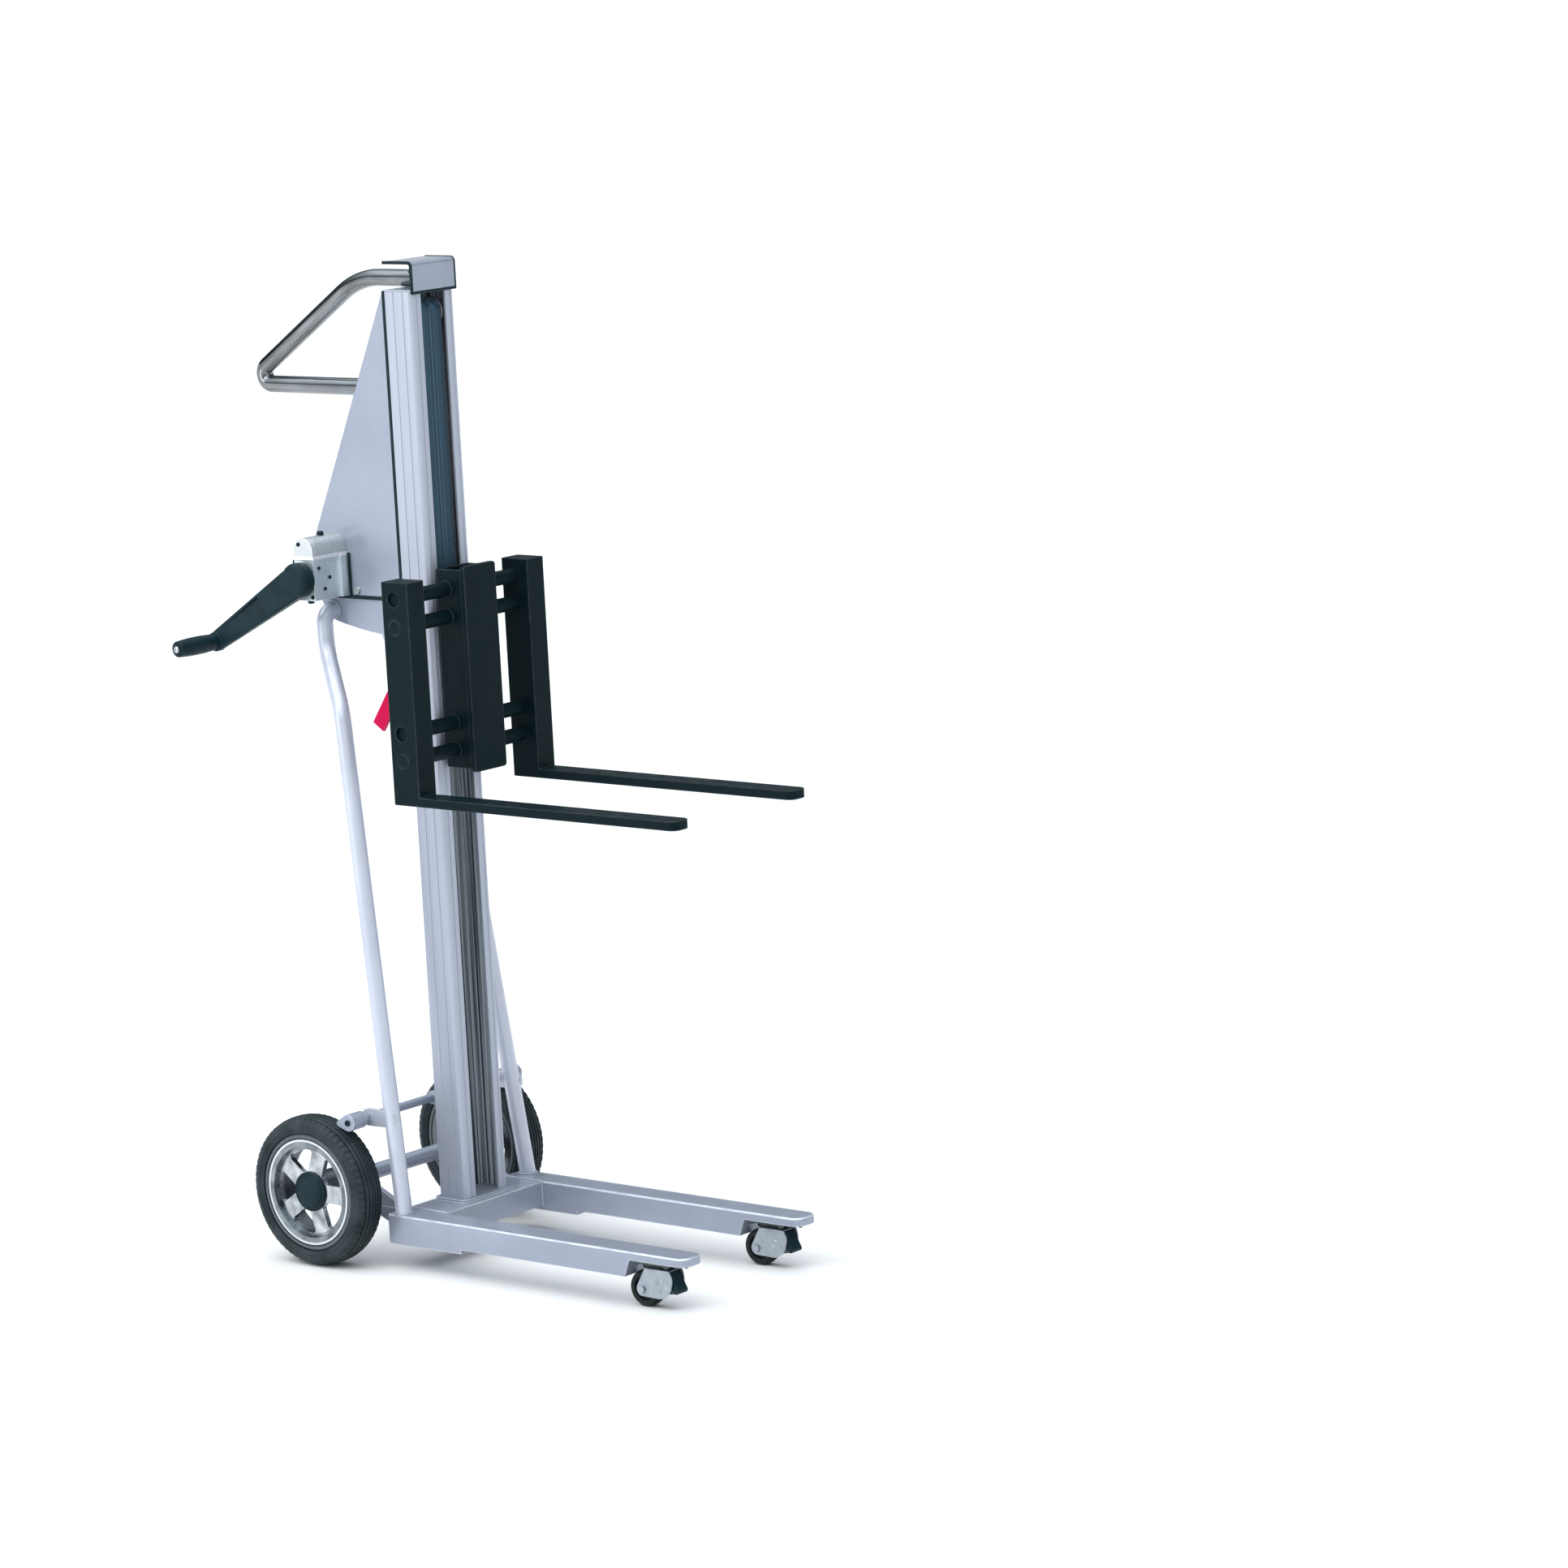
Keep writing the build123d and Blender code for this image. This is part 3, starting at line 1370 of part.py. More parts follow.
with BuildPart() as caster_bolts:
    for side, word in sides:
        with BuildSketch(Plane.XY.offset(caster_plate_bottom)):
            with Locations((side * leg_x, caster_y)):
                with GridLocations(
                    leg_width - 2 * bolt_inset_x, caster_plate_length - 2 * bolt_inset_y, 2, 2
                ):
                    Circle(bolt_radius)
        extrude(amount=caster_plate_thickness + bolt_length - run_gap)
        with BuildSketch(Plane.XY.offset(caster_plate_bottom)):
            with Locations((side * leg_x, caster_y)):
                with GridLocations(
                    leg_width - 2 * bolt_inset_x, caster_plate_length - 2 * bolt_inset_y, 2, 2
                ):
                    RegularPolygon(bolt_head_radius, 6)
        extrude(amount=-bolt_head_height)
        with BuildSketch(Plane.XY.offset(nose_bottom)):
            with Locations((side * leg_x, nose_tip + stop_inset)):
                Circle(stop_radius)
        extrude(amount=-stop_height, taper=12)
save(caster_bolts, "caster_bolts")

# Wheel brake: a cross shaft with two shoes and a crank, a pull rod, and a lever on the mast
with BuildPart() as brake_shaft:
    with BuildSketch(side_plane(0)):
        with Locations((brake_y, brake_z)):
            Circle(brake_shaft_radius)
    extrude(amount=shoe_outer, both=True)
    for side, word in sides:
        with BuildSketch(side_plane(side * shoe_inner)):
            hull_strip(
                (brake_y, brake_z),
                shoe_radius,
                (brake_y + shoe_reach, brake_z - shoe_drop),
                shoe_tip_radius,
            )
        extrude(amount=side * shoe_width)
    with BuildSketch(side_plane(0)):
        hull_strip((brake_y, brake_z), brake_arm_radius, (rod_y, rod_bottom), rod_eye_radius)
    extrude(amount=brake_arm_half, both=True)
    with BuildSketch(side_plane(0)):
        with Locations((rod_y, rod_bottom)):
            Circle(link_pin_radius)
    extrude(amount=link_end)
save(brake_shaft, "brake_shaft")

with BuildPart() as brake_rod:
    with BuildSketch(Plane.XY.offset(rod_bottom)):
        with Locations((rod_x, rod_y)):
            Circle(rod_radius)
    extrude(amount=rod_top - rod_bottom)
    with BuildSketch(side_plane(rod_x)):
        with Locations((rod_y, rod_bottom), (rod_y, rod_top)):
            Circle(rod_eye_radius)
    extrude(amount=rod_eye_half, both=True)
    with BuildSketch(side_plane(rod_x)):
        with Locations((rod_y, rod_bottom), (rod_y, rod_top)):
            Circle(link_pin_radius + link_play)
    extrude(amount=2 * rod_radius, both=True, mode=Mode.SUBTRACT)
save(brake_rod, "brake_rod")

with BuildPart() as brake_lever:
    tip_y = lever_pivot_y + lever_length * cos(radians(lever_angle))
    tip_z = lever_pivot_z + lever_length * sin(radians(lever_angle))
    with BuildSketch(side_plane(0)):
        hull_strip((lever_pivot_y, lever_pivot_z), lever_hub_radius, (rod_y, rod_top), rod_eye_radius)
    extrude(amount=lever_half, both=True)
    with BuildSketch(side_plane(0)):
        with Locations((lever_pivot_y, lever_pivot_z)):
            Circle(lever_hub_radius)
        with Locations(Location((tip_y, tip_z, 0), (0, 0, lever_angle))):
            Rectangle(lever_end, lever_width)
        make_hull()
    extrude(amount=lever_half, both=True)
    with BuildSketch(side_plane(0)):
        with Locations((rod_y, rod_top)):
            Circle(link_pin_radius)
    extrude(amount=link_end)
    with BuildSketch(side_plane(0)):
        with Locations((lever_pivot_y, lever_pivot_z)):
            Circle(lever_pin_radius + run_gap)
    extrude(amount=2 * lever_half, both=True, mode=Mode.SUBTRACT)
save(brake_lever, "brake_lever")

with BuildPart() as lever_bracket:
    with BuildSketch(Plane.XZ.offset(-mast_rear)):
        with Locations(((near_ear + far_ear) / 2, lever_pivot_z)):
            Rectangle(far_ear - near_ear + 2 * ear_thickness, ear_base_height)
    extrude(amount=-ear_base)
    for start, depth in ((near_ear, -ear_thickness), (far_ear, ear_thickness)):
        with BuildSketch(side_plane(start)):
            with Locations(((mast_rear + lever_pivot_y) / 2, lever_pivot_z)):
                Rectangle(lever_pivot_y - mast_rear, 2 * ear_radius)
            with Locations((lever_pivot_y, lever_pivot_z)):
                Circle(ear_radius)
        extrude(amount=depth)
    with BuildSketch(side_plane(near_ear)):
        with Locations((lever_pivot_y, lever_pivot_z)):
            Circle(lever_pin_radius)
    extrude(amount=far_ear - near_ear)
save(lever_bracket, "lever_bracket")
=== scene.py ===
"""The finished look of a hand-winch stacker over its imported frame: skins, trim, finishes and studio."""

import json
import math

import bmesh
import bpy
from mathutils import Matrix, Vector

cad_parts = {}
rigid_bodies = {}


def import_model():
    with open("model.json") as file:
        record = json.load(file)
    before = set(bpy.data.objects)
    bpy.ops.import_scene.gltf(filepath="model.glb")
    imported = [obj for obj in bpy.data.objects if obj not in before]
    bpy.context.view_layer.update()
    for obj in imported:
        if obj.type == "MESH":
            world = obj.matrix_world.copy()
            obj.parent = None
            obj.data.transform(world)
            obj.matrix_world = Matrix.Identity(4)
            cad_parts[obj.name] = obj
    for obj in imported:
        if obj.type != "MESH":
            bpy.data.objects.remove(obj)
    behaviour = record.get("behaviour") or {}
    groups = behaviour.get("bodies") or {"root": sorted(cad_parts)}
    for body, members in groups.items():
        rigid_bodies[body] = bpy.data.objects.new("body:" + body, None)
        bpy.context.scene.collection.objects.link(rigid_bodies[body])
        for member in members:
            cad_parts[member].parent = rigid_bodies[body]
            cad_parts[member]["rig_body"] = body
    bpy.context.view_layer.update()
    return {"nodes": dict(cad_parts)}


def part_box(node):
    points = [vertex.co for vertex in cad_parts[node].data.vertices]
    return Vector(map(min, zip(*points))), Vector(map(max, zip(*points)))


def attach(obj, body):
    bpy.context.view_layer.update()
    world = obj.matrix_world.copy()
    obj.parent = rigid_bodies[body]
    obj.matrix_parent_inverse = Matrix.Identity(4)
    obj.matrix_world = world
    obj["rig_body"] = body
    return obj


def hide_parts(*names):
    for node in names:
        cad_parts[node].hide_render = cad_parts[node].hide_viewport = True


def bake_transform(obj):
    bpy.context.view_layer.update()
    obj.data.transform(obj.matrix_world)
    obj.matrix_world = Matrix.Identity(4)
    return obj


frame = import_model()

MM = 0.001
X, Y, Z = Vector((1, 0, 0)), Vector((0, 1, 0)), Vector((0, 0, 1))
SIDES = {"right": -1, "left": 1}
WHITE = (1.0, 1.0, 1.0)
scene = bpy.context.scene

# The range that most of a noise lies in
NOISE_LOW, NOISE_HIGH = 0.3, 0.7
# The places of a Mix node's two colour inputs and its colour output
MIX_FIRST, MIX_SECOND, MIX_COLOR = 6, 7, 2
# A bound, in metres, that lies beyond every piece it is used on
FAR = 1.0
# Two faces that meet at more degrees than SHARP make a corner, and at fewer than FLAT they are one face
SHARP, FLAT = 35, 0.4
# Points of a mesh that are nearer than this, in metres, are one point
SAME_PLACE = 2e-6


# Finishes

class Nodes:
    """A shader's node tree, with helpers that make nodes and feed the shader's sockets."""

    def __init__(self, tree, shader):
        self.tree = tree
        self.shader = tree.nodes[shader]

    def node(self, kind, inputs, **settings):
        """The first output of a new node, with its settings made and its inputs linked or set."""
        made = self.tree.nodes.new("ShaderNode" + kind)
        for name, value in settings.items():
            setattr(made, name, value)
        for name, value in inputs.items():
            if isinstance(value, bpy.types.NodeSocket):
                self.tree.links.new(value, made.inputs[name])
            else:
                made.inputs[name].default_value = value
        return made.outputs[0]

    def feed(self, socket, source):
        """Link a node's output to one of the shader's sockets."""
        self.tree.links.new(source, self.shader.inputs[socket])

    def times(self, first, second):
        """Two values multiplied."""
        return self.node("Math", {0: first, 1: second}, operation="MULTIPLY")

    def most(self, first, second):
        """The larger of two values."""
        return self.node("Math", {0: first, 1: second}, operation="MAXIMUM")

    def measure(self, operation, first, second):
        """A number worked out from two vectors, such as their distance."""
        made = self.node("VectorMath", {0: first, 1: second}, operation=operation)
        return made.node.outputs["Value"]

    def ranged(self, source, start, end, low, high, **settings):
        """A value that runs from low to high as its source runs from start to end."""
        limits = {"From Min": start, "From Max": end, "To Min": low, "To Max": high}
        return self.node("MapRange", {"Value": source, **limits}, **settings)

    def spread(self, noise, low, high):
        """The middle of a noise's range brought to low and high."""
        return self.ranged(noise, NOISE_LOW, NOISE_HIGH, low, high)

    def shades(self, factor, low, high, start=NOISE_LOW, end=NOISE_HIGH):
        """A colour that runs from low to high as the factor runs from start to end."""
        ramp = self.node("ValToRGB", {"Fac": factor})
        stops = ramp.node.color_ramp.elements
        stops[0].position, stops[1].position = start, end
        stops[0].color, stops[1].color = (*low, 1), (*high, 1)
        return ramp

    def mixed(self, factor, first, second):
        """A source of colour mixed by a factor with a second source, or with a plain colour."""
        color = (*second, 1) if isinstance(second, tuple) else second
        inputs = {"Factor": factor, MIX_FIRST: first, MIX_SECOND: color}
        return self.node("Mix", inputs, data_type="RGBA").node.outputs[MIX_COLOR]


class Finish(Nodes):
    """A procedural material: a principled shader whose patterns lie in the object's own space."""

    def __init__(self, name, sockets):
        self.material = bpy.data.materials.new(name)
        self.material.use_nodes = True
        super().__init__(self.material.node_tree, "Principled BSDF")
        self.place = self.node("TexCoord", {}).node.outputs["Object"]
        for socket, value in sockets.items():
            self.shader.inputs[socket].default_value = value

    def noise(self, scale, stretch=(1, 1, 1), detail=3.0):
        """Cloudy noise of so many cells a metre, drawn out where stretch is small."""
        place = self.node("Mapping", {"Vector": self.place, "Scale": stretch})
        return self.node("TexNoise", {"Vector": place, "Scale": scale, "Detail": detail})

    def stripes(self, pitch, axis):
        """A wave along one axis that repeats every pitch metres.

        A wave texture turns by wave_pace radians in each unit of its scaled place."""
        wave_pace = 20
        turns = 2 * math.pi / (wave_pace * pitch)
        return self.node("TexWave", {"Vector": self.place, "Scale": turns}, bands_direction=axis)

    def within(self, reach, low, high):
        """One where a measure lies between low and high, else nothing."""
        above = self.node("Math", {0: reach, 1: low}, operation="GREATER_THAN")
        below = self.node("Math", {0: reach, 1: high}, operation="LESS_THAN")
        return self.times(above, below)

    def between(self, axis, low, high):
        """One between two places along Y or Z, or distances from the mid plane along X, else nothing."""
        place = self.node("SeparateXYZ", {"Vector": self.place}).node.outputs[axis]
        reach = self.node("Math", {0: place}, operation="ABSOLUTE") if axis == "X" else place
        return self.within(reach, low, high)

    def off_axle(self, node, low, high):
        """One between two distances from a wheel's axle, else nothing."""
        flat = self.node("VectorMath", {0: self.place, 1: (0, 1, 1)}, operation="MULTIPLY")
        return self.within(self.measure("DISTANCE", flat, (0, *axle_of(node))), low, high)

    def edges(self, reach):
        """How much lighter the surface is painted: nothing on flat faces, more at corners, in patches; part
        scuffed paint and part painted highlight.
        """
        flat_face, worn_and_lit_corner = 0.997, 0.92
        # Corners are painted lighter, standing for scuffed paint and for a painted highlight along the edges
        soft = self.node("Bevel", {"Radius": reach}, samples=6)
        true = self.node("NewGeometry", {}).node.outputs["Normal"]
        corner = self.ranged(self.measure("DOT_PRODUCT", soft, true), flat_face, worn_and_lit_corner, 0.0, 1.0)
        patches = self.spread(self.noise(70.0, detail=5.0), 0.25, 1.0)
        return self.times(corner, patches)

    def bump(self, height, depth, strength=1.0):
        """Relief of so many metres on the surface."""
        inputs = {"Height": height, "Distance": depth, "Strength": strength}
        self.feed("Normal", self.node("Bump", inputs))


def axle_of(node):
    """The (y, z) place of a round node's own axis, from its box."""
    low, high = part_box(node)
    return (low.y + high.y) / 2, (low.z + high.z) / 2


def radius_of(node):
    """A round node's outer radius, from the height of its box."""
    low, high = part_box(node)
    return (high.z - low.z) / 2


def width_of(node):
    """The middle of a node along X, and half of its width."""
    low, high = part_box(node)
    return (low.x + high.x) / 2, (high.x - low.x) / 2


def shaded(color, factor):
    """A colour made lighter or darker by a factor."""
    return tuple(min(1.0, part * factor) for part in color)


def paint_finish(name, color, wear_and_highlight_color, roughness, coat=0.0, gloss=0.5, flake=0.0, highlight_heights=None):
    """Sprayed enamel: cloudy tone, corners painted lighter as scuffed paint and painted highlight, slight
    orange peel, and metal flake where it has any.

    Between the two heights of the last argument, the bends are painted lighter in patches: a painted
    highlight."""
    sockets = {"Metallic": flake, "Coat Weight": coat, "Coat Roughness": 0.16, "Specular IOR Level": gloss}
    finish = Finish(name, sockets)
    tone = finish.shades(finish.noise(9.0, detail=5.0), shaded(color, 0.93), shaded(color, 1.05))
    # Lighter corners: part scuffed paint and part painted highlight
    wear_and_highlight = finish.edges(2.6 * MM)
    # A painted highlight along the bends, between the two heights given
    if highlight_heights:
        patches = finish.spread(finish.noise(38.0, detail=4.0), 0.35, 1.0)
        wear_and_highlight = finish.most(wear_and_highlight, finish.times(finish.between("Z", *highlight_heights), patches))
    finish.feed("Base Color", finish.mixed(wear_and_highlight, tone, wear_and_highlight_color))
    finish.feed("Roughness", finish.spread(finish.noise(60.0), roughness - 0.06, roughness + 0.08))
    finish.bump(finish.noise(520.0, detail=2.0), 0.06 * MM)
    return finish.material


def metal_finish(name, color, roughness, grain, stretch, contrast=0.1):
    """Bare or plated metal with a grain drawn out along one way; a strong contrast turns the grain into
    painted reflection streaks.
    """
    finish = Finish(name, {"Metallic": 1.0})
    streak = finish.noise(grain, stretch, detail=4.0)
    low, high = shaded(color, 1 - contrast), shaded(color, 1 + contrast)
    finish.feed("Base Color", finish.shades(streak, low, high))
    finish.feed("Roughness", finish.spread(streak, roughness - 0.06, roughness + 0.08))
    finish.bump(finish.noise(grain * 2, stretch, detail=2.0), 0.02 * MM)
    return finish.material


def extruded_finish():
    """Anodised extrusion: a satin skin with long die lines, and the channel inside the mast painted dark with
    streaks, as painted shade.
    """
    low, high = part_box("mast")
    wall = 3 * MM
    color = (0.395, 0.425, 0.505)
    finish = Finish("mast_anodised", {"Metallic": 0.35})
    line = finish.noise(900.0, (1, 1, 0.004), detail=2.0)
    outside = finish.shades(line, shaded(color, 0.92), shaded(color, 1.06))
    # The channel inside the mast is painted dark with pale streaks: painted shade where little light reaches
    streak = finish.noise(260.0, (1, 1, 0.006), detail=2.0)
    channel = finish.shades(streak, (0.03, 0.042, 0.05), (0.70, 0.76, 0.82), 0.36, 0.64)
    across = finish.between("X", -FAR, high.x - wall)
    deep = finish.between("Y", low.y + wall, high.y - wall)
    finish.feed("Base Color", finish.mixed(finish.times(across, deep), outside, channel))
    finish.feed("Roughness", finish.spread(finish.noise(30.0, (1, 1, 0.1)), 0.34, 0.46))
    finish.bump(line, 0.03 * MM)
    return finish.material


def moulded_finish(name, color, roughness, gloss=0.3):
    """Moulded plastic or rubber with a fine pebble and a faint bloom."""
    finish = Finish(name, {"Specular IOR Level": gloss})
    bloom = finish.noise(26.0, detail=6.0)
    finish.feed("Base Color", finish.shades(bloom, shaded(color, 0.8), shaded(color, 1.35)))
    finish.feed("Roughness", finish.spread(finish.noise(90.0), roughness - 0.07, roughness + 0.08))
    finish.bump(finish.noise(1400.0, detail=2.0), 0.08 * MM)
    return finish.material


def tyre_finish():
    """Tyre rubber: a paler bead ring as a painted highlight, the groove beside it painted near black as
    painted shade, and a dusty bloom on the walls.
    """
    rim = radius_of("left_rim")
    bead_start, bead_end, groove_end = rim + 2.5 * MM, rim + 8.4 * MM, rim + 10.4 * MM
    finish = Finish("tyre_rubber", {"Specular IOR Level": 0.25})
    bloom = finish.noise(26.0, detail=6.0)
    wall = finish.shades(bloom, (0.007, 0.014, 0.017), (0.028, 0.041, 0.047))
    # The bead ring is painted paler: a painted highlight on the raised ring
    bead = finish.off_axle("left_rim", bead_start, bead_end)
    # The groove beside the bead is painted near black: painted shade in the groove
    groove = finish.off_axle("left_rim", bead_end, groove_end)
    bead_highlighted = finish.mixed(bead, wall, (0.085, 0.104, 0.112))
    finish.feed("Base Color", finish.mixed(groove, bead_highlighted, (0.004, 0.006, 0.007)))
    finish.feed("Roughness", finish.spread(finish.noise(90.0), 0.5, 0.66))
    finish.bump(finish.noise(700.0, detail=2.0), 0.08 * MM)
    return finish.material


def webbing_finish():
    """Woven polyester webbing: lengthwise warp bands crossed by fine weft, in dark blue-green."""
    sockets = {"Sheen Weight": 0.15, "Sheen Roughness": 0.4, "Specular IOR Level": 0.3}
    finish = Finish("belt_webbing", sockets)
    band = finish.noise(170.0, (1, 1, 0.003), detail=2.0)
    fuzz = finish.noise(240.0, detail=5.0)
    color = finish.shades(band, (0.005, 0.018, 0.032), (0.034, 0.096, 0.155), 0.36, 0.66)
    finish.feed("Base Color", finish.mixed(finish.spread(fuzz, 0.0, 0.3), color, (0.01, 0.03, 0.045)))
    finish.feed("Roughness", finish.spread(fuzz, 0.58, 0.8))
    warp, weft = finish.stripes(4.5 * MM, "X"), finish.stripes(1.6 * MM, "Z")
    finish.bump(finish.times(warp, weft), 0.12 * MM)
    return finish.material


def rim_finish():
    """Turned and polished alloy on the wheel's outer face, its spokes mottled as painted reflections, its lip
    painted bright as a highlight and the ring inside the lip painted darker as shade; behind its web it is
    duller alloy, painted dark as shade.
    """
    radius = radius_of("left_rim")
    barrel_edge, lip_edge = radius - 18 * MM, radius - 3.5 * MM
    web_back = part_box("left_rim")[1].x - 16.5 * MM
    finish = Finish("polished_rim", {"Metallic": 1.0})
    grain = finish.noise(42.0, detail=3.0)
    # The spokes' strong mottle stands for reflections: painted reflection
    spokes = finish.shades(grain, (0.20, 0.22, 0.24), (0.66, 0.69, 0.71))
    # The ring between the barrel edge and the lip is painted darker: painted shade in that recess
    barrel = finish.shades(grain, (0.10, 0.115, 0.13), (0.34, 0.37, 0.39))
    face = finish.mixed(finish.off_axle("left_rim", barrel_edge, lip_edge), spokes, barrel)
    # Beyond the lip edge the alloy is painted near white: a painted highlight on the lip
    bright = finish.mixed(finish.off_axle("left_rim", lip_edge, FAR), face, (0.70, 0.73, 0.75))
    # Behind the web the alloy is painted dark: painted shade, on duller metal
    behind = finish.between("X", 0.0, web_back)
    finish.feed("Base Color", finish.mixed(behind, bright, (0.12, 0.13, 0.14)))
    finish.feed("Roughness", finish.spread(finish.noise(160.0), 0.14, 0.30))
    finish.bump(grain, 1.5 * MM, 0.5)
    return finish.material


def winch_finish():
    """Cast alloy toned by height: a pale rounded top as painted light from above, a near-white band as a
    painted highlight, and a bluer block below it as painted shade.
    """
    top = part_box("winch_case")[1].z
    band_low, band_high = top - 36 * MM, top - 30.2 * MM
    finish = Finish("cast_winch_alloy", {"Metallic": 0.7})
    cast = finish.noise(240.0, detail=4.0)
    # Above the band the alloy is painted paler as light from above, and below it bluer as painted shade
    pale = finish.shades(cast, (0.50, 0.53, 0.54), (0.64, 0.67, 0.68))
    shaded_block_tone = finish.shades(finish.noise(24.0, detail=4.0), (0.49, 0.56, 0.60), (0.68, 0.75, 0.79))
    block = finish.mixed(finish.between("Z", 0.0, band_low), pale, shaded_block_tone)
    # The band is painted near white: a painted highlight
    band = finish.between("Z", band_low, band_high)
    finish.feed("Base Color", finish.mixed(band, block, (0.86, 0.88, 0.89)))
    finish.feed("Roughness", finish.spread(cast, 0.32, 0.46))
    finish.bump(cast, 0.08 * MM)
    return finish.material


def zinc_finish():
    """Zinc plate with a faint spangle, painted near black from the swivel up: part grease and dirt, part
    painted shade.
    """
    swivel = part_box("right_caster_plate")[0].z
    finish = Finish("zinc_plate", {"Metallic": 0.85})
    spangle = finish.noise(75.0, detail=3.0)
    plate = finish.shades(spangle, (0.31, 0.35, 0.39), (0.41, 0.45, 0.49))
    # From just under the swivel up the zinc is painted near black: part grease and part painted shade
    grease_and_shade = finish.between("Z", swivel - 2 * MM, FAR)
    finish.feed("Base Color", finish.mixed(grease_and_shade, plate, (0.07, 0.085, 0.09)))
    finish.feed("Roughness", finish.spread(spangle, 0.3, 0.42))
    finish.bump(finish.noise(300.0), 0.03 * MM)
    return finish.material


base_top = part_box("cross_member")[1].z
# The heights just under the base's top, where the bends get a painted highlight
bend_highlight_heights = (base_top - 2.8 * MM, base_top - 0.4 * MM)
FINISHES = {
    "paint": paint_finish("stacker_paint", (0.300, 0.330, 0.414), (0.64, 0.67, 0.72), 0.36,
                          coat=0.4, flake=0.35, highlight_heights=bend_highlight_heights),
    "pale_paint": paint_finish("pale_tube_paint", (0.52, 0.55, 0.645), (0.74, 0.76, 0.80), 0.34,
                               coat=0.4, flake=0.3),
    "mast_alloy": extruded_finish(),
    "black_paint": paint_finish("satin_black_paint", (0.0030, 0.011, 0.0140), (0.085, 0.100, 0.108), 0.46,
                                gloss=0.07),
    # The bent tube's dark base colour and strong streaks stand for dark reflections: painted reflection
    "chrome": metal_finish("bright_tube", (0.240, 0.252, 0.260), 0.09, 330.0, (1, 0.03, 0.03), contrast=0.4),
    "winch_alloy": winch_finish(),
    "steel": metal_finish("turned_steel", (0.52, 0.53, 0.54), 0.28, 500.0, (0.1, 1, 1)),
    "zinc": zinc_finish(),
    "black_plastic": moulded_finish("black_plastic", (0.006, 0.019, 0.025), 0.40, gloss=0.12),
    "grey_plastic": moulded_finish("grey_plastic", (0.14, 0.145, 0.15), 0.45),
    "red_paint": paint_finish("red_paint", (0.62, 0.003, 0.07), (0.75, 0.10, 0.18), 0.40, gloss=0.08),
    "belt": webbing_finish(),
    "tyre": tyre_finish(),
    "rim_alloy": rim_finish(),
    "caster_rubber": moulded_finish("caster_rubber", (0.006, 0.010, 0.011), 0.5, gloss=0.2),
}


# Shape helpers

def shown(name, mesh, finish, sharp):
    """A new object with its finish, smooth faces and sharp corners."""
    mesh.materials.clear()
    mesh.materials.append(FINISHES[finish])
    mesh.shade_smooth()
    mesh.set_sharp_from_angle(angle=math.radians(sharp))
    piece = bpy.data.objects.new(name, mesh)
    scene.collection.objects.link(piece)
    return piece


def present(name, mesh, slot, body, nodes=(), sharp=SHARP, finish=None):
    """Show a mesh as a piece with a slot's finish, which rides on a body and stands in for the nodes it
    hides.

    Its finish is the slot's own, unless another is named."""
    piece = shown(name, mesh, finish or slot, sharp)
    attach(piece, body)
    if nodes:
        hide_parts(*nodes)
    return piece


def mesh_of(form, name):
    """The mesh of a finished bmesh, with its faces turned outward."""
    bmesh.ops.remove_doubles(form, verts=form.verts, dist=SAME_PLACE)
    bmesh.ops.recalc_face_normals(form, faces=form.faces)
    mesh = bpy.data.meshes.new(name)
    form.to_mesh(mesh)
    form.free()
    return mesh


def rounded(piece, width):
    """Round a piece's corners by a bevel of so many metres."""
    bevel = piece.modifiers.new("rounded_edges", "BEVEL")
    bevel.width = width
    bevel.segments = 2
    bevel.limit_method = "ANGLE"
    bevel.angle_limit = math.radians(SHARP)
    bevel.use_clamp_overlap = False
    bevel.harden_normals = True


def skin(node, slot, edge, finish):
    """A copy of a CAD node with its corners rounded, which stands for the node on its own body."""
    name = node + "_skin"
    form = bmesh.new()
    form.from_mesh(frame["nodes"][node].data)
    bmesh.ops.remove_doubles(form, verts=form.verts, dist=SAME_PLACE)
    bmesh.ops.dissolve_limit(form, angle_limit=math.radians(FLAT), verts=form.verts, edges=form.edges)
    mesh = mesh_of(form, name)
    if "custom_normal" in mesh.attributes:
        mesh.attributes.remove(mesh.attributes["custom_normal"])
    piece = present(name, mesh, slot, frame["nodes"][node]["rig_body"], (node,), finish=finish)
    if edge > 0:
        rounded(piece, edge)


def in_metres(points):
    """Profile points that are written in millimetres."""
    return [(along * MM, radius * MM) for along, radius in points]


def arc(start, end, bulge, steps):
    """Points on a bow from start up to, but not including, end, which stands out by bulge at its middle."""
    run = Vector(end) - Vector(start)
    out = Vector((run.y, -run.x)).normalized()
    points = []
    for step in range(steps):
        share = step / steps
        points.append(Vector(start) + run * share + out * bulge * 4 * share * (1 - share))
    return points


def turned_about(origin, direction=X):
    """The matrix that takes the X axis to a line through origin."""
    return Matrix.Translation(origin) @ X.rotation_difference(direction).to_matrix().to_4x4()


def x_line(node):
    """The matrix that takes the X axis to a round node's own axis."""
    return turned_about((0, *axle_of(node)))


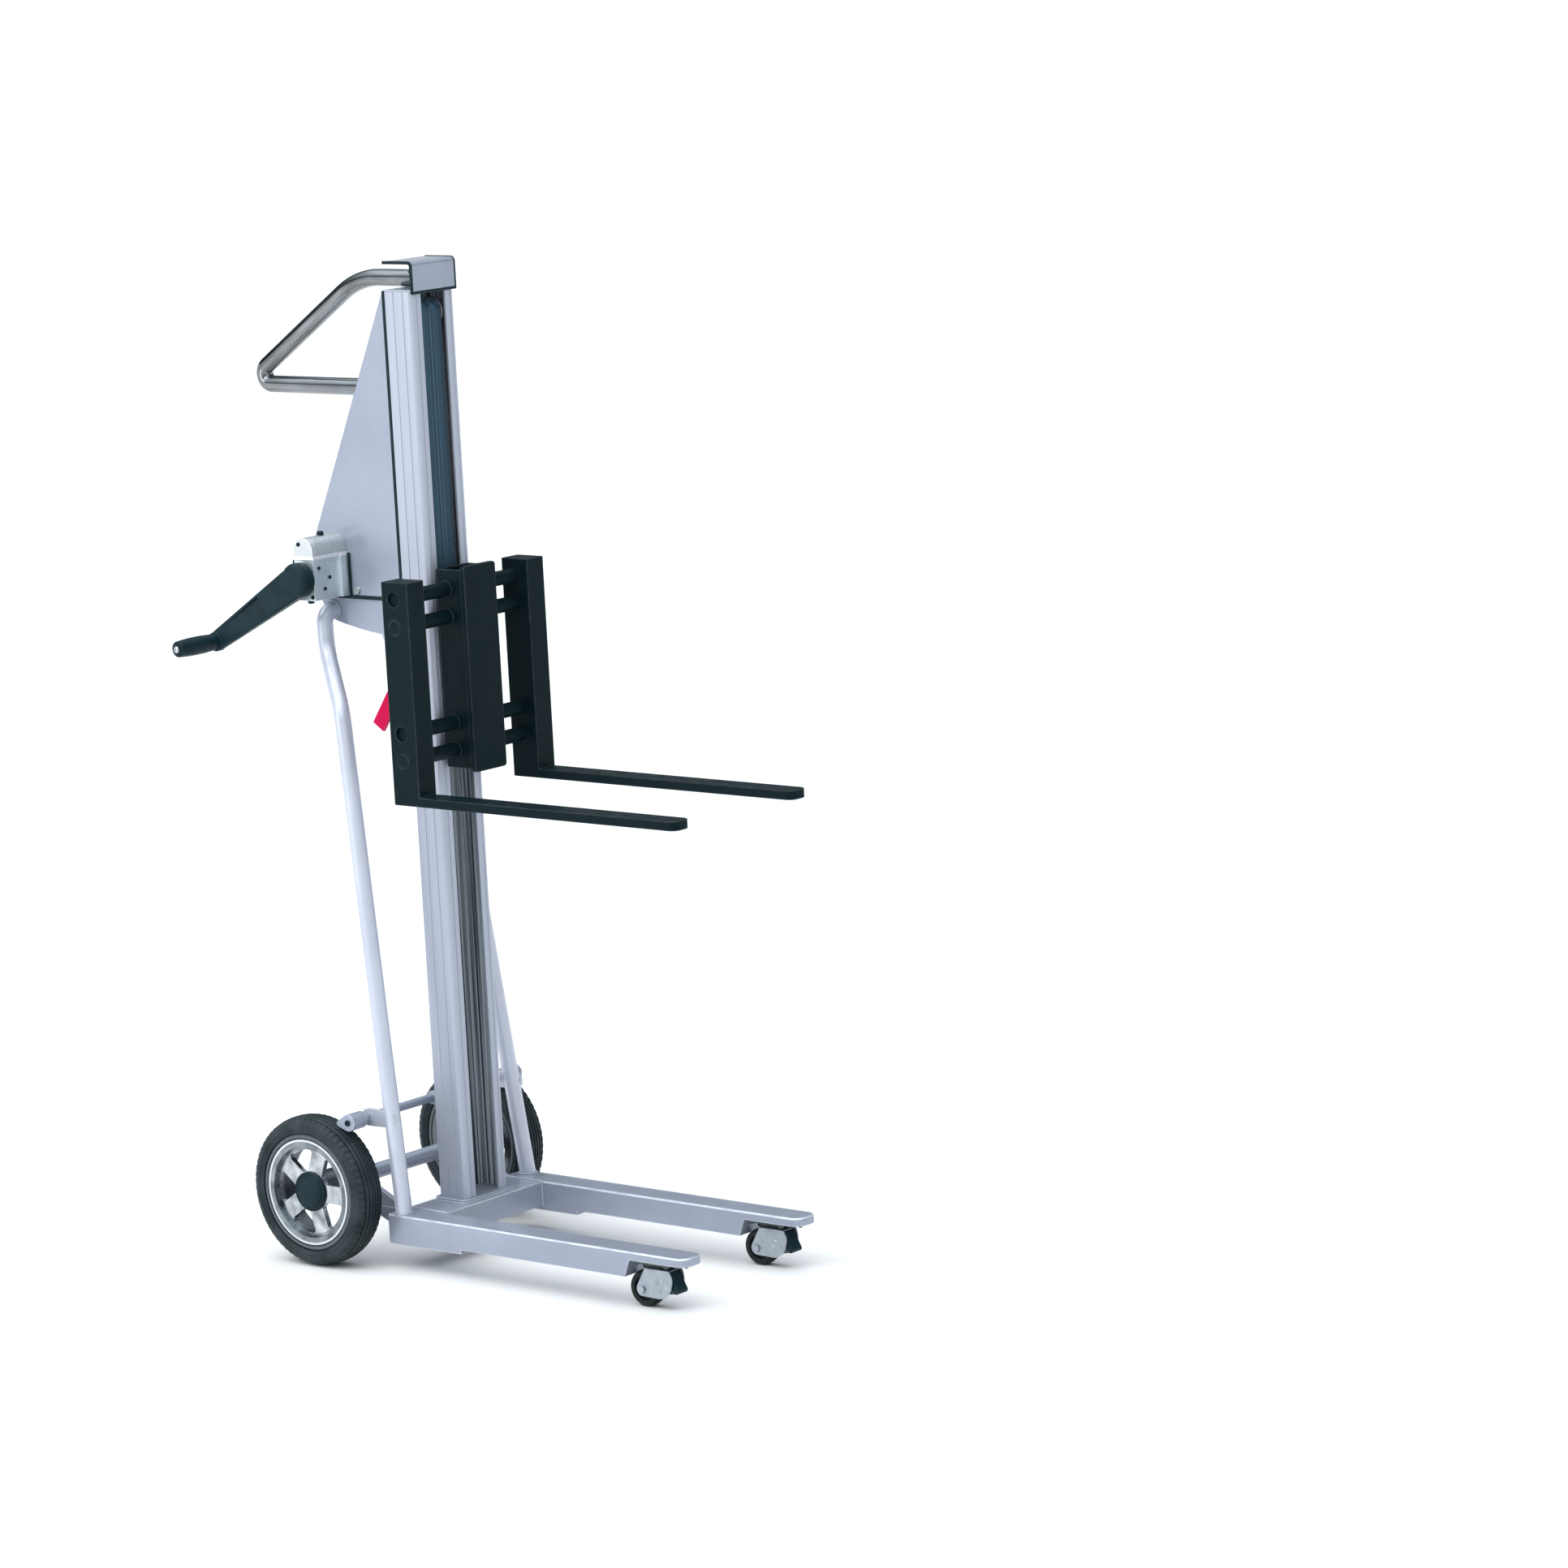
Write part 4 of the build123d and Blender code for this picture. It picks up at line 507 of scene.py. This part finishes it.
def lathe(name, profile, place, segments=64, dip=None):
    """A closed profile of (along, radius) points turned about the X axis, then placed by a matrix.

    dip(step, point) says how far a point of the profile is drawn in at that step of the turn."""
    form = bmesh.new()
    rings = []
    for step in range(segments):
        turn = 2 * math.pi * step / segments
        ring = []
        for index, (along, radius) in enumerate(profile):
            reach = radius - dip(step, index) if dip else radius
            point = Vector((along, reach * math.cos(turn), reach * math.sin(turn)))
            ring.append(form.verts.new(place @ point))
        rings.append(ring)
    for step, ring in enumerate(rings):
        following = rings[(step + 1) % segments]
        for index in range(len(profile)):
            after = (index + 1) % len(profile)
            form.faces.new((ring[index], ring[after], following[after], following[index]))
    return mesh_of(form, name)


def both_sides(wall, middle, crown=()):
    """A wheel's closed profile: a wall out to the tread, the crown's points and the wall mirrored."""
    outer = [(middle + x, r) for x, r in wall]
    inner = [(middle - x, r) for x, r in reversed(wall)]
    return outer + list(crown) + inner


def circle(centre, radius, first, second, count=72):
    """Points round a circle in the plane of two directions."""
    points = []
    for step in range(count):
        turn = 2 * math.pi * step / count
        points.append(Vector(centre) + radius * (math.cos(turn) * first + math.sin(turn) * second))
    return points


def spaced(points, step, closed):
    """Points at an even step along a path of straight runs."""
    stops = list(points) + [points[0]] if closed else list(points)
    lengths = [(after - before).length for before, after in zip(stops, stops[1:])]
    count = max(4, round(sum(lengths) / step))
    places = []
    run, passed = 0, 0.0
    for index in range(count if closed else count + 1):
        target = sum(lengths) * index / count
        while run < len(lengths) - 1 and target > passed + lengths[run]:
            passed += lengths[run]
            run += 1
        places.append(stops[run].lerp(stops[run + 1], min(1.0, (target - passed) / lengths[run])))
    return places


def directions(path, closed):
    """The direction of travel at each point of a path."""
    last = len(path) - 1
    ways = []
    for index in range(len(path)):
        before = path[index - 1] if index or closed else path[0]
        after = path[(index + 1) % len(path)] if index < last or closed else path[last]
        ways.append((after - before).normalized())
    return ways


def joined_rings(rings, closed, name):
    """The mesh of a row of rings with the same count of corners, its open ends capped."""
    form = bmesh.new()
    corners = [[form.verts.new(point) for point in ring] for ring in rings]
    following = corners[1:] + corners[:1] if closed else corners[1:]
    for ring, after in zip(corners, following):
        for index in range(len(ring)):
            beside = (index + 1) % len(ring)
            form.faces.new((ring[index], ring[beside], after[beside], after[index]))
    if not closed:
        form.faces.new(corners[0])
        form.faces.new(reversed(corners[-1]))
    return mesh_of(form, name)


def weld(name, points, radius, slot, body, closed=True):
    """A weld bead along a path: a round run with the ripples that each stop of the torch leaves."""
    step, rings_in_ripple, corners = 0.28 * radius, 5, 8
    thin, tapered_end = 0.80, 0.4
    path = spaced(points, step, closed)
    ways = directions(path, closed)
    side = ways[0].orthogonal().normalized()
    rings = []
    for index, (point, way) in enumerate(zip(path, ways)):
        side = (side - way * side.dot(way)).normalized()
        ripple = abs(math.sin(math.pi * index / rings_in_ripple))
        swell = radius * (thin + (1 - thin) * ripple)
        if not closed and index in (0, len(path) - 1):
            swell *= tapered_end
        rings.append(circle(point, swell, side, way.cross(side), corners))
    present(name, joined_rings(rings, closed, name), slot, body, sharp=60)


def dark_strip(name, points, across, half_across, half_tall, closed=False):
    """A soft-cornered black strip along a path that lies square to the across direction."""
    ways = directions(points, closed)
    last = len(points) - 1
    corner = 0.55 * min(half_across, half_tall)
    section = []
    for u_sign, v_sign, start in ((1, 1, 0), (-1, 1, 90), (-1, -1, 180), (1, -1, 270)):
        for turn in (0, 30, 60, 90):
            angle = math.radians(start + turn)
            section.append((u_sign * (half_across - corner) + corner * math.cos(angle),
                            v_sign * (half_tall - corner) + corner * math.sin(angle)))
    rings = []
    for index, (point, way) in enumerate(zip(points, ways)):
        tall = across.cross(way).normalized()
        bend = 1.0
        if closed or 0 < index < last:
            bend = 1 / max(0.5, way.dot((points[(index + 1) % len(points)] - point).normalized()))
        rings.append([point + across * u + tall * v * bend for u, v in section])
    present(name, joined_rings(rings, closed, name), "black_plastic", "frame", sharp=50)


def screw(name, place, radius, body):
    """A black domed screw head with a round socket, standing on a surface along the placed X axis."""
    sunk, rise, socket = 0.5 * MM, 0.62 * radius, 0.44 * radius
    floor = 0.36 * rise
    head = [(-sunk, 0.0), (-sunk, radius), (0.72 * rise, radius), (rise, 0.82 * radius)]
    head += [(rise, 0.5 * radius), (floor, socket), (floor, 0.0)]
    present(name, lathe(name, head, place, 32), "black_plastic", body, sharp=40)


# Wheels and casters

def tyre(side):
    """A solid tyre: bead ring, groove, bulged wall with fine rings, notched shoulders, grooved tread."""
    node = side + "_tyre"
    name = node + "_tread"
    radius = radius_of(node)
    middle, half = width_of(node)
    bore = radius_of(side + "_rim") + 0.3 * MM
    bead = bore + 8 * MM
    face = half - 4 * MM
    tread_half, crown_drop = half - 7 * MM, 4.5 * MM
    edge = (tread_half, radius - crown_drop)
    wall = [(face - 2.6 * MM, bore), (face - 0.6 * MM, bore + 0.6 * MM), (face, bore + 2 * MM)]
    wall += [(face, bead - 1.6 * MM), (face - 0.7 * MM, bead - 0.4 * MM), (face - 2 * MM, bead)]
    wall += [(face - 2 * MM, bead + 1.6 * MM)]
    flank = arc((face - 0.2 * MM, bead + 2 * MM), edge, 5.2 * MM, 16)
    ring_ranks, ring_rise = (4, 6), 0.9 * MM
    for rank in ring_ranks:
        flank[rank] = flank[rank] + ring_rise * Vector((1, 0))
    wall += flank + [edge]
    notch_start, notch_end = len(wall) - 5, len(wall) + 1
    groove_places, groove, groove_depth = (17.5 * MM, 10 * MM, 3 * MM), 1.3 * MM, 2.6 * MM
    for place in groove_places:
        crown = radius - crown_drop * (place / tread_half) ** 2
        wall += [(place + groove, crown), (place + groove * 0.8, crown - groove_depth)]
        wall += [(place - groove * 0.8, crown - groove_depth), (place - groove, crown)]
    profile = both_sides(wall, middle)
    steps, notch_pitch, notch_depth = 256, 4, 1.8 * MM

    def dip(step, index):
        """The depth of the notches, at every few steps and on both shoulders."""
        rank = min(index, len(profile) - 1 - index)
        return notch_depth if step % notch_pitch == 0 and notch_start < rank < notch_end else 0.0

    mesh = lathe(name, profile, x_line(node), steps, dip)
    present(name, mesh, "tyre", side + "_wheel", (node,), sharp=28)


def hub_cap(side):
    """A low domed black cap with a stepped edge ring over the wheel's axle end."""
    node = side + "_hub_cap"
    name = node + "_dome"
    low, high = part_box(node)
    radius = radius_of(node)
    way = SIDES[side]
    root = low.x if way > 0 else high.x
    tall = high.x - low.x
    dome_foot, dome_radius, steps = 0.66, 0.81, 12
    rise = [(0.0, 0.0), (0.0, 0.985), (0.35, 1.0), (0.52, 0.97), (0.60, 0.92), (0.52, 0.88), (0.52, 0.84)]
    for step in range(steps + 1):
        turn = step / steps * math.pi / 2
        rise.append((dome_foot + (1 - dome_foot) * math.sin(turn), dome_radius * math.cos(turn)))
    profile = [(root + way * tall * x, radius * r) for x, r in rise]
    mesh = lathe(name, profile, x_line(node), 96)
    present(name, mesh, "black_plastic", side + "_wheel", (node,), sharp=40)


def caster_roller(side):
    """A caster's wheel: a crowned rubber band on a narrower web, with a hub boss round the axle."""
    node = side + "_caster_wheel"
    name = node + "_band"
    radius = radius_of(node)
    middle, half = width_of(node)
    bore, hub, band = 4.1 * MM, 9 * MM, 19 * MM
    web = half - 5 * MM
    wall = [(half, bore), (half, hub - 0.5 * MM), (half - 0.6 * MM, hub), (web, hub + 0.6 * MM)]
    wall += [(web, band - 0.6 * MM), (half - 0.9 * MM, band), (half, band + 1 * MM)]
    wall += [(half, radius - 4 * MM), (half - 1 * MM, radius - 2.6 * MM), (half - 3 * MM, radius - 1.4 * MM)]
    wall += [(half / 2, radius - 0.5 * MM)]
    mesh = lathe(name, both_sides(wall, middle, [(middle, radius)]), x_line(node), 72)
    present(name, mesh, "caster_rubber", side + "_caster_roller", (node,), sharp=30)


def caster_trim(side):
    """What dresses a caster: a dark ring at its swivel race, standing for the grease and shade there, and a
    pressed ring on each yoke cheek.
    """
    plate_low, plate_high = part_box(side + "_caster_plate")
    yoke_low, yoke_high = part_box(side + "_caster_yoke")
    swivel = Vector(((plate_low.x + plate_high.x) / 2, (plate_low.y + plate_high.y) / 2, plate_low.z))
    # A dark ring at the swivel race, which stands for its grease and its shade
    race_grease_and_shade = in_metres([(0.3, 18.4), (0.3, 23.4), (1.2, 24.6), (5.4, 24.6), (6.6, 23.6), (6.6, 18.4)])
    name = side + "_caster_race_shade"
    present(name, lathe(name, race_grease_and_shade, turned_about(swivel, Z)), "caster_rubber", "frame")
    ring = in_metres([(-0.4, 4.6), (0.5, 5.2), (0.9, 6.2), (0.5, 7.2), (-0.4, 7.8)])
    ring_y = axle_of(side + "_caster_axle")[0] - 37.5 * MM
    ring_z = plate_low.z - 26 * MM
    for word, cheek, way in (("outer", yoke_low.x, -X), ("inner", yoke_high.x, X)):
        name = side + "_yoke_ring_" + word
        mesh = lathe(name, ring, turned_about((cheek, ring_y, ring_z), way), 40)
        present(name, mesh, "zinc", side + "_caster", sharp=50)


# Crank, winch and brake

def grip():
    """The crank's hand grip: a swelled barrel with collar rings at both ends and a bore for its spindle."""
    low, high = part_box("crank_grip")
    radius = radius_of("crank_grip")
    bore, swelling = 6.5 * MM, 2.2 * MM
    steps, collar_steps, collar_depth = 40, (4, 7, 10, 30, 33, 36), 0.7 * MM
    end = [(0.0, bore), (0.0, radius - 3.5 * MM), (1.2 * MM, radius - 2 * MM)]
    profile = [(low.x + inset, r) for inset, r in end]
    for step in range(1, steps):
        share = step / steps
        swell = radius - swelling + swelling * math.sin(math.pi * share) ** 0.7
        collar = collar_depth if step in collar_steps else 0.0
        profile.append((low.x + (high.x - low.x) * share, swell - collar))
    profile += [(high.x - inset, r) for inset, r in reversed(end)]
    mesh = lathe("grip_barrel", profile, x_line("crank_grip"))
    present("grip_barrel", mesh, "black_plastic", "grip", ("crank_grip",), sharp=40)


def spindle():
    """The grip's spindle: a pin, a bright domed screw head at its free end and a dark washer under it."""
    low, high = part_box("grip_spindle")
    place = x_line("grip_spindle")
    pin, head, washer = 5 * MM, 5.6 * MM, radius_of("grip_spindle")
    seat, washer_back, socket_floor = low.x + 2.2 * MM, low.x + 4 * MM, low.x + 1.4 * MM
    profile = [(high.x, 0.0), (high.x, pin - 0.6 * MM), (high.x - 0.6 * MM, pin), (seat, pin), (seat, head)]
    profile += [(low.x + 1.2 * MM, head), (low.x + 0.4 * MM, head - 0.9 * MM), (low.x, head - 2.4 * MM)]
    profile += [(low.x, 2.4 * MM), (socket_floor, 2.0 * MM), (socket_floor, 0.0)]
    mesh = lathe("spindle_screw", profile, place, 48)
    present("spindle_screw", mesh, "steel", "crank", ("grip_spindle",), sharp=40)
    hole = pin + 0.1 * MM
    ring = [(seat, hole), (seat - 0.6 * MM, washer - 1.2 * MM), (seat, washer - 0.3 * MM)]
    ring += [(washer_back - 0.2 * MM, washer), (washer_back, hole)]
    mesh = lathe("spindle_washer", ring, place, 48)
    present("spindle_washer", mesh, "black_plastic", "crank", sharp=40)


def winch_trim():
    """A dark strip round the winch case's foot, where it stands on the hood, standing for a gasket and the
    shade at that joint, and the cover's screws.
    """
    low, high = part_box("winch_case")
    flange_out, cover_thick, thick = 2 * MM, 6 * MM, 2.2 * MM
    top = high.z - 34 * MM
    front, back = low.y - flange_out, high.y + flange_out
    hood_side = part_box("hood")[0].x
    corners = [(front, low.z), (back, low.z), (back, top), (front, top)]
    path = [Vector((hood_side - thick, y, z)) for y, z in corners]
    # A dark strip round the case's foot, which stands for a gasket and the shade at that joint
    dark_strip("winch_foot_gasket_and_shade", path, X, thick, 1.4 * MM, closed=True)
    middle = (low.y + high.y) / 2
    upper, lower = high.z - 10.5 * MM, low.z + 6 * MM
    spots = ((middle + 9.5 * MM, upper), (middle + 16 * MM, lower), (middle - 16 * MM, lower))
    for number, (y, z) in enumerate(spots, 1):
        place = turned_about((low.x - cover_thick, y, z), -X)
        screw(f"winch_cover_screw_{number}", place, 3.4 * MM, "frame")


def brake_screws():
    """A dark screw in the outer face of each brake shoe."""
    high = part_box("brake_shaft")[1]
    shoe_radius, tip_reach = 14 * MM, 25 * MM
    body = frame["nodes"]["brake_shaft"]["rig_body"]
    for side, way in SIDES.items():
        place = turned_about((way * high.x, high.y - tip_reach, high.z - shoe_radius), way * X)
        screw(side + "_shoe_screw", place, 5 * MM, body)


# Dark strips, welds and belt

def hood_shadow_strips():
    """Black strips on the hood's cut edges, beside the mast and along the bottom, on both sides, standing for
    the shadow gaps there as painted shade.
    """
    low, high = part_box("hood")
    half_thick, half_wide, half_hem = 1.3 * MM, 2.6 * MM, 3.2 * MM
    front = low.y + half_thick
    for side, way in SIDES.items():
        x = way * high.x
        # Black strips at the seam beside the mast and along the bottom edge, standing for the shadow gaps
        # there: painted shade
        upright = [Vector((x, front, low.z)), Vector((x, front, high.z - 1 * MM))]
        dark_strip(side + "_hood_seam_shadow", upright, X, half_thick, half_wide)
        bottom = [Vector((x, low.y + 4 * MM, low.z)), Vector((x, high.y - 3 * MM, low.z))]
        dark_strip(side + "_hood_hem_shadow", bottom, X, half_thick, half_hem)


def cap_dark_strips():
    """Black strips along the cap's open sides, and one under its front flange that stands for the shadow line
    there as painted shade.
    """
    low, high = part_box("mast_cap")
    sheet, bend, steps = 1.5 * MM, 8 * MM, 8
    reach = bend - sheet
    profile = [(low.y + sheet, low.z)]
    for step in range(steps + 1):
        turn = math.pi - step / steps * math.pi / 2
        profile.append((low.y + bend + reach * math.cos(turn), high.z - bend + reach * math.sin(turn)))
    profile.append((high.y - 1 * MM, high.z - sheet))
    for side, way in SIDES.items():
        path = [Vector((way * high.x, y, z)) for y, z in profile]
        dark_strip(side + "_cap_edge", path, X, 1.5 * MM, 2.6 * MM)
    # A black strip under the front flange, standing for the shadow line there: painted shade
    ends = (low.x - 1 * MM, high.x + 1 * MM)
    strip = [Vector((x, low.y + 1.8 * MM, low.z - 1.6 * MM)) for x in ends]
    dark_strip("cap_shadow_strip", strip, Z, 2.6 * MM, 2.4 * MM)


def base_welds():
    """Weld beads at both ends of the tubes, at the cross member's ends and round the mast's foot."""
    cross_low, cross_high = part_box("cross_member")
    foot_low, foot_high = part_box("mast_foot")
    bracket_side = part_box("winch_bracket")[1].x
    deck = cross_high.z
    tube, foot_x, foot_y = 13.5 * MM, 152 * MM, 18 * MM
    ring, stand_off = tube + 0.7 * MM, 0.8 * MM
    front, back, under = cross_low.y, cross_high.y, cross_low.z
    seam = [(back, under), (back, deck), (front, deck), (front, under)]
    for side, way in SIDES.items():
        foot = (way * foot_x, foot_y, deck + stand_off)
        weld(side + "_tube_foot_weld", circle(foot, ring, X, Y), 2.4 * MM, "paint", "frame")
        tube_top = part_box(side + "_side_tube")[1]
        head = (way * (bracket_side + stand_off), tube_top.y - tube, tube_top.z - tube)
        weld(side + "_tube_head_weld", circle(head, ring, Y, Z), 2.2 * MM, "paint", "frame")
        path = [Vector((way * (cross_high.x - 0.6 * MM), y, z)) for y, z in seam]
        weld(side + "_cross_weld", path, 2.0 * MM, "paint", "frame", closed=False)
    corner = 12 * MM
    outline = []
    for x, y, start in ((foot_high.x, foot_high.y, 0), (foot_low.x, foot_high.y, 90),
                        (foot_low.x, foot_low.y, 180), (foot_high.x, foot_low.y, 270)):
        middle = Vector((x - math.copysign(corner, x), y - math.copysign(corner, y), deck + 0.6 * MM))
        for turn in (0, 30, 60, 90):
            angle = math.radians(start + turn)
            outline.append(middle + corner * Vector((math.cos(angle), math.sin(angle), 0)))
    weld("mast_foot_weld", outline, 2.2 * MM, "paint", "frame")


def bar_welds():
    """Weld rings where the carriage's bars go through its cheeks."""
    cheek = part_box("carriage_frame")[1].x
    bar, bar_y = 12 * MM, -54 * MM
    bar_heights = (1105 * MM, 1060 * MM, 888 * MM, 844 * MM)
    for level, height in enumerate(bar_heights, 1):
        for side, way in SIDES.items():
            centre = (way * (cheek + 0.8 * MM), bar_y, height)
            ring = circle(centre, bar + 0.5 * MM, Y, Z)
            weld(f"{side}_bar_weld_{level}", ring, 2.2 * MM, "black_paint", "carriage")


def belt_front():
    """The lifting belt's front run as a fixed ribbed strip; the real run lengthens as the carriage goes down.
    """
    low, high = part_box("belt_front_run")
    ribs, rows, rib_depth, edge_depth = 10, 60, 0.18 * MM, 0.7 * MM
    across = 4 * ribs
    rings = []
    for row in range(rows + 1):
        z = high.z + (low.z - high.z) * row / rows
        loop = []
        for face, side in ((low.y, 1), (high.y, -1)):
            for step in range(across + 1):
                share = step / across if side > 0 else 1 - step / across
                edge = edge_depth if share in (0.0, 1.0) else 0.0
                rib = rib_depth * (1 - math.cos(2 * math.pi * ribs * share)) / 2
                loop.append(Vector((low.x + (high.x - low.x) * share, face + side * (rib + edge), z)))
        rings.append(loop)
    strip = shown("belt_front_strip", joined_rings(rings, False, "belt_front_strip"), "belt", 50)
    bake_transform(strip)
    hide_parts("belt_front_run")


# The pieces

# The nodes of each slot that get a skin, with the width of their rounded corners in millimetres
SKINS = {
    "paint": {"right_leg": 0, "left_leg": 0, "cross_member": 0.8, "mast_foot": 1.2, "mast_cap": 0.8,
              "hood": 0.5, "winch_bracket": 0.6, "right_side_tube": 0, "left_side_tube": 0,
              "wheel_axle": 0.6, "brake_shaft": 0.6, "lever_bracket": 0.5, "brake_rod": 0.3},
    "mast_alloy": {"mast": 0.4},
    "black_paint": {"carriage_frame": 0.8, "carriage_bars": 0.8, "belt_clamp": 0.8, "right_fork": 1.0,
                    "left_fork": 1.0},
    "chrome": {"push_handle": 0},
    "winch_alloy": {"winch_case": 0.6, "winch_cover": 0.8},
    "zinc": {"right_caster_plate": 0.4, "left_caster_plate": 0.4, "right_caster_yoke": 0.4,
             "left_caster_yoke": 0.4, "right_caster_axle": 0.4, "left_caster_axle": 0.4, "caster_bolts": 0.4},
    "black_plastic": {"right_caster_pedal": 0.6, "left_caster_pedal": 0.6, "crank_arm": 0,
                      "winch_knobs": 0.6},
    "steel": {"hood_screws": 0.4},
    "red_paint": {"brake_lever": 0.6},
    "rim_alloy": {"right_rim": 0, "left_rim": 0},
}

# The skins whose finish isn't their slot's own
OTHER_FINISHES = {"right_side_tube": "pale_paint", "left_side_tube": "pale_paint"}

# The nodes inside the machine, which keep their CAD shape
INNER = {
    "steel": ("crank_shaft", "ratchet_wheel", "pawl", "drum", "drum_gear", "drum_axle", "pulley_axle",
              "roller_axles", "axle_bushes"),
    "grey_plastic": ("top_pulley", "upper_rollers", "lower_rollers"),
    "belt": ("belt_rear_run", "belt_coil"),
}

for slot, corners in SKINS.items():
    for node, width in corners.items():
        skin(node, slot, width * MM, OTHER_FINISHES.get(node, slot))
for slot, nodes in INNER.items():
    for node in nodes:
        frame["nodes"][node].data.materials.clear()
        frame["nodes"][node].data.materials.append(FINISHES[slot])
for side in SIDES:
    tyre(side)
    hub_cap(side)
    caster_roller(side)
    caster_trim(side)
grip()
spindle()
winch_trim()
brake_screws()
hood_shadow_strips()
cap_dark_strips()
base_welds()
bar_welds()
belt_front()


# Studio

def studio_world():
    """A soft dome of light, bright overhead and dim and bluish lower down, white at the horizon."""
    world = bpy.data.worlds.new("studio_dome")
    scene.world = world
    world.use_nodes = True
    dome = Nodes(world.node_tree, "Background")
    place = dome.node("TexCoord", {}).node.outputs["Generated"]
    smooth = {"interpolation_type": "SMOOTHSTEP"}
    overhead = dome.measure("DOT_PRODUCT", place, Vector((-0.22, 0.0, 0.97)).normalized())
    height = dome.measure("DOT_PRODUCT", place, Z)
    glow = dome.ranged(overhead, 0.28, 0.95, 0.10, 2.6, **smooth)
    horizon = dome.ranged(height, 0.14, 0.19, 1.0, 0.0, **smooth)
    tint = dome.shades(overhead, (0.62, 0.86, 1.0), WHITE, 0.0, 1.0)
    dome.feed("Color", dome.mixed(horizon, tint, WHITE))
    dome.feed("Strength", dome.most(glow, horizon))


def studio_floor():
    """A pale floor that runs to the horizon."""
    form = bmesh.new()
    bmesh.ops.create_grid(form, x_segments=1, y_segments=1, size=150.0)
    floor = bpy.data.objects.new("studio_floor", mesh_of(form, "studio_floor"))
    finish = Finish("pale_floor", {"Roughness": 0.9, "Specular IOR Level": 0.1})
    tone = finish.shades(finish.noise(3.0), (0.75, 0.75, 0.755), (0.77, 0.77, 0.775))
    finish.feed("Base Color", tone)
    floor.data.materials.append(finish.material)
    scene.collection.objects.link(floor)


def soft_box(name, place, target, width, height, power):
    """A large soft lamp that points at a target."""
    data = bpy.data.lights.new(name, "AREA")
    data.shape = "RECTANGLE"
    data.size, data.size_y = width, height
    data.energy = power
    lamp = bpy.data.objects.new(name, data)
    lamp.location = place
    lamp.rotation_euler = (Vector(target) - Vector(place)).to_track_quat("-Z", "Y").to_euler()
    scene.collection.objects.link(lamp)


def photo_camera():
    """The camera at the photograph's viewpoint."""
    place = Vector((-6.690, -6.200, 2.326))
    azimuth, elevation, roll = (math.radians(angle) for angle in (-50.59, 9.83, -2.96))
    flat = Vector((math.sin(azimuth), -math.cos(azimuth), 0))
    back = flat * math.cos(elevation) + Z * math.sin(elevation)
    level = Vector((-back.y, back.x, 0)).normalized()
    right = level * math.cos(roll) + back.cross(level) * math.sin(roll)
    turn = Matrix((right, back.cross(right), back)).transposed()
    data = bpy.data.cameras.new("photo_camera")
    data.sensor_width = 36.0
    data.lens = 130.4
    data.clip_end = 1000.0
    camera = bpy.data.objects.new("photo_camera", data)
    camera.matrix_world = Matrix.Translation(place) @ turn.to_4x4()
    scene.collection.objects.link(camera)
    scene.camera = camera


scene.view_settings.view_transform = "Standard"
studio_world()
studio_floor()
soft_box("key_light", (-3.6, 0.4, 4.4), (0.0, 0.0, 0.8), 2.0, 2.0, 46.0)
soft_box("side_light", (-4.4, 2.6, 1.6), (0.0, 0.0, 0.9), 0.8, 2.6, 34.0)
photo_camera()
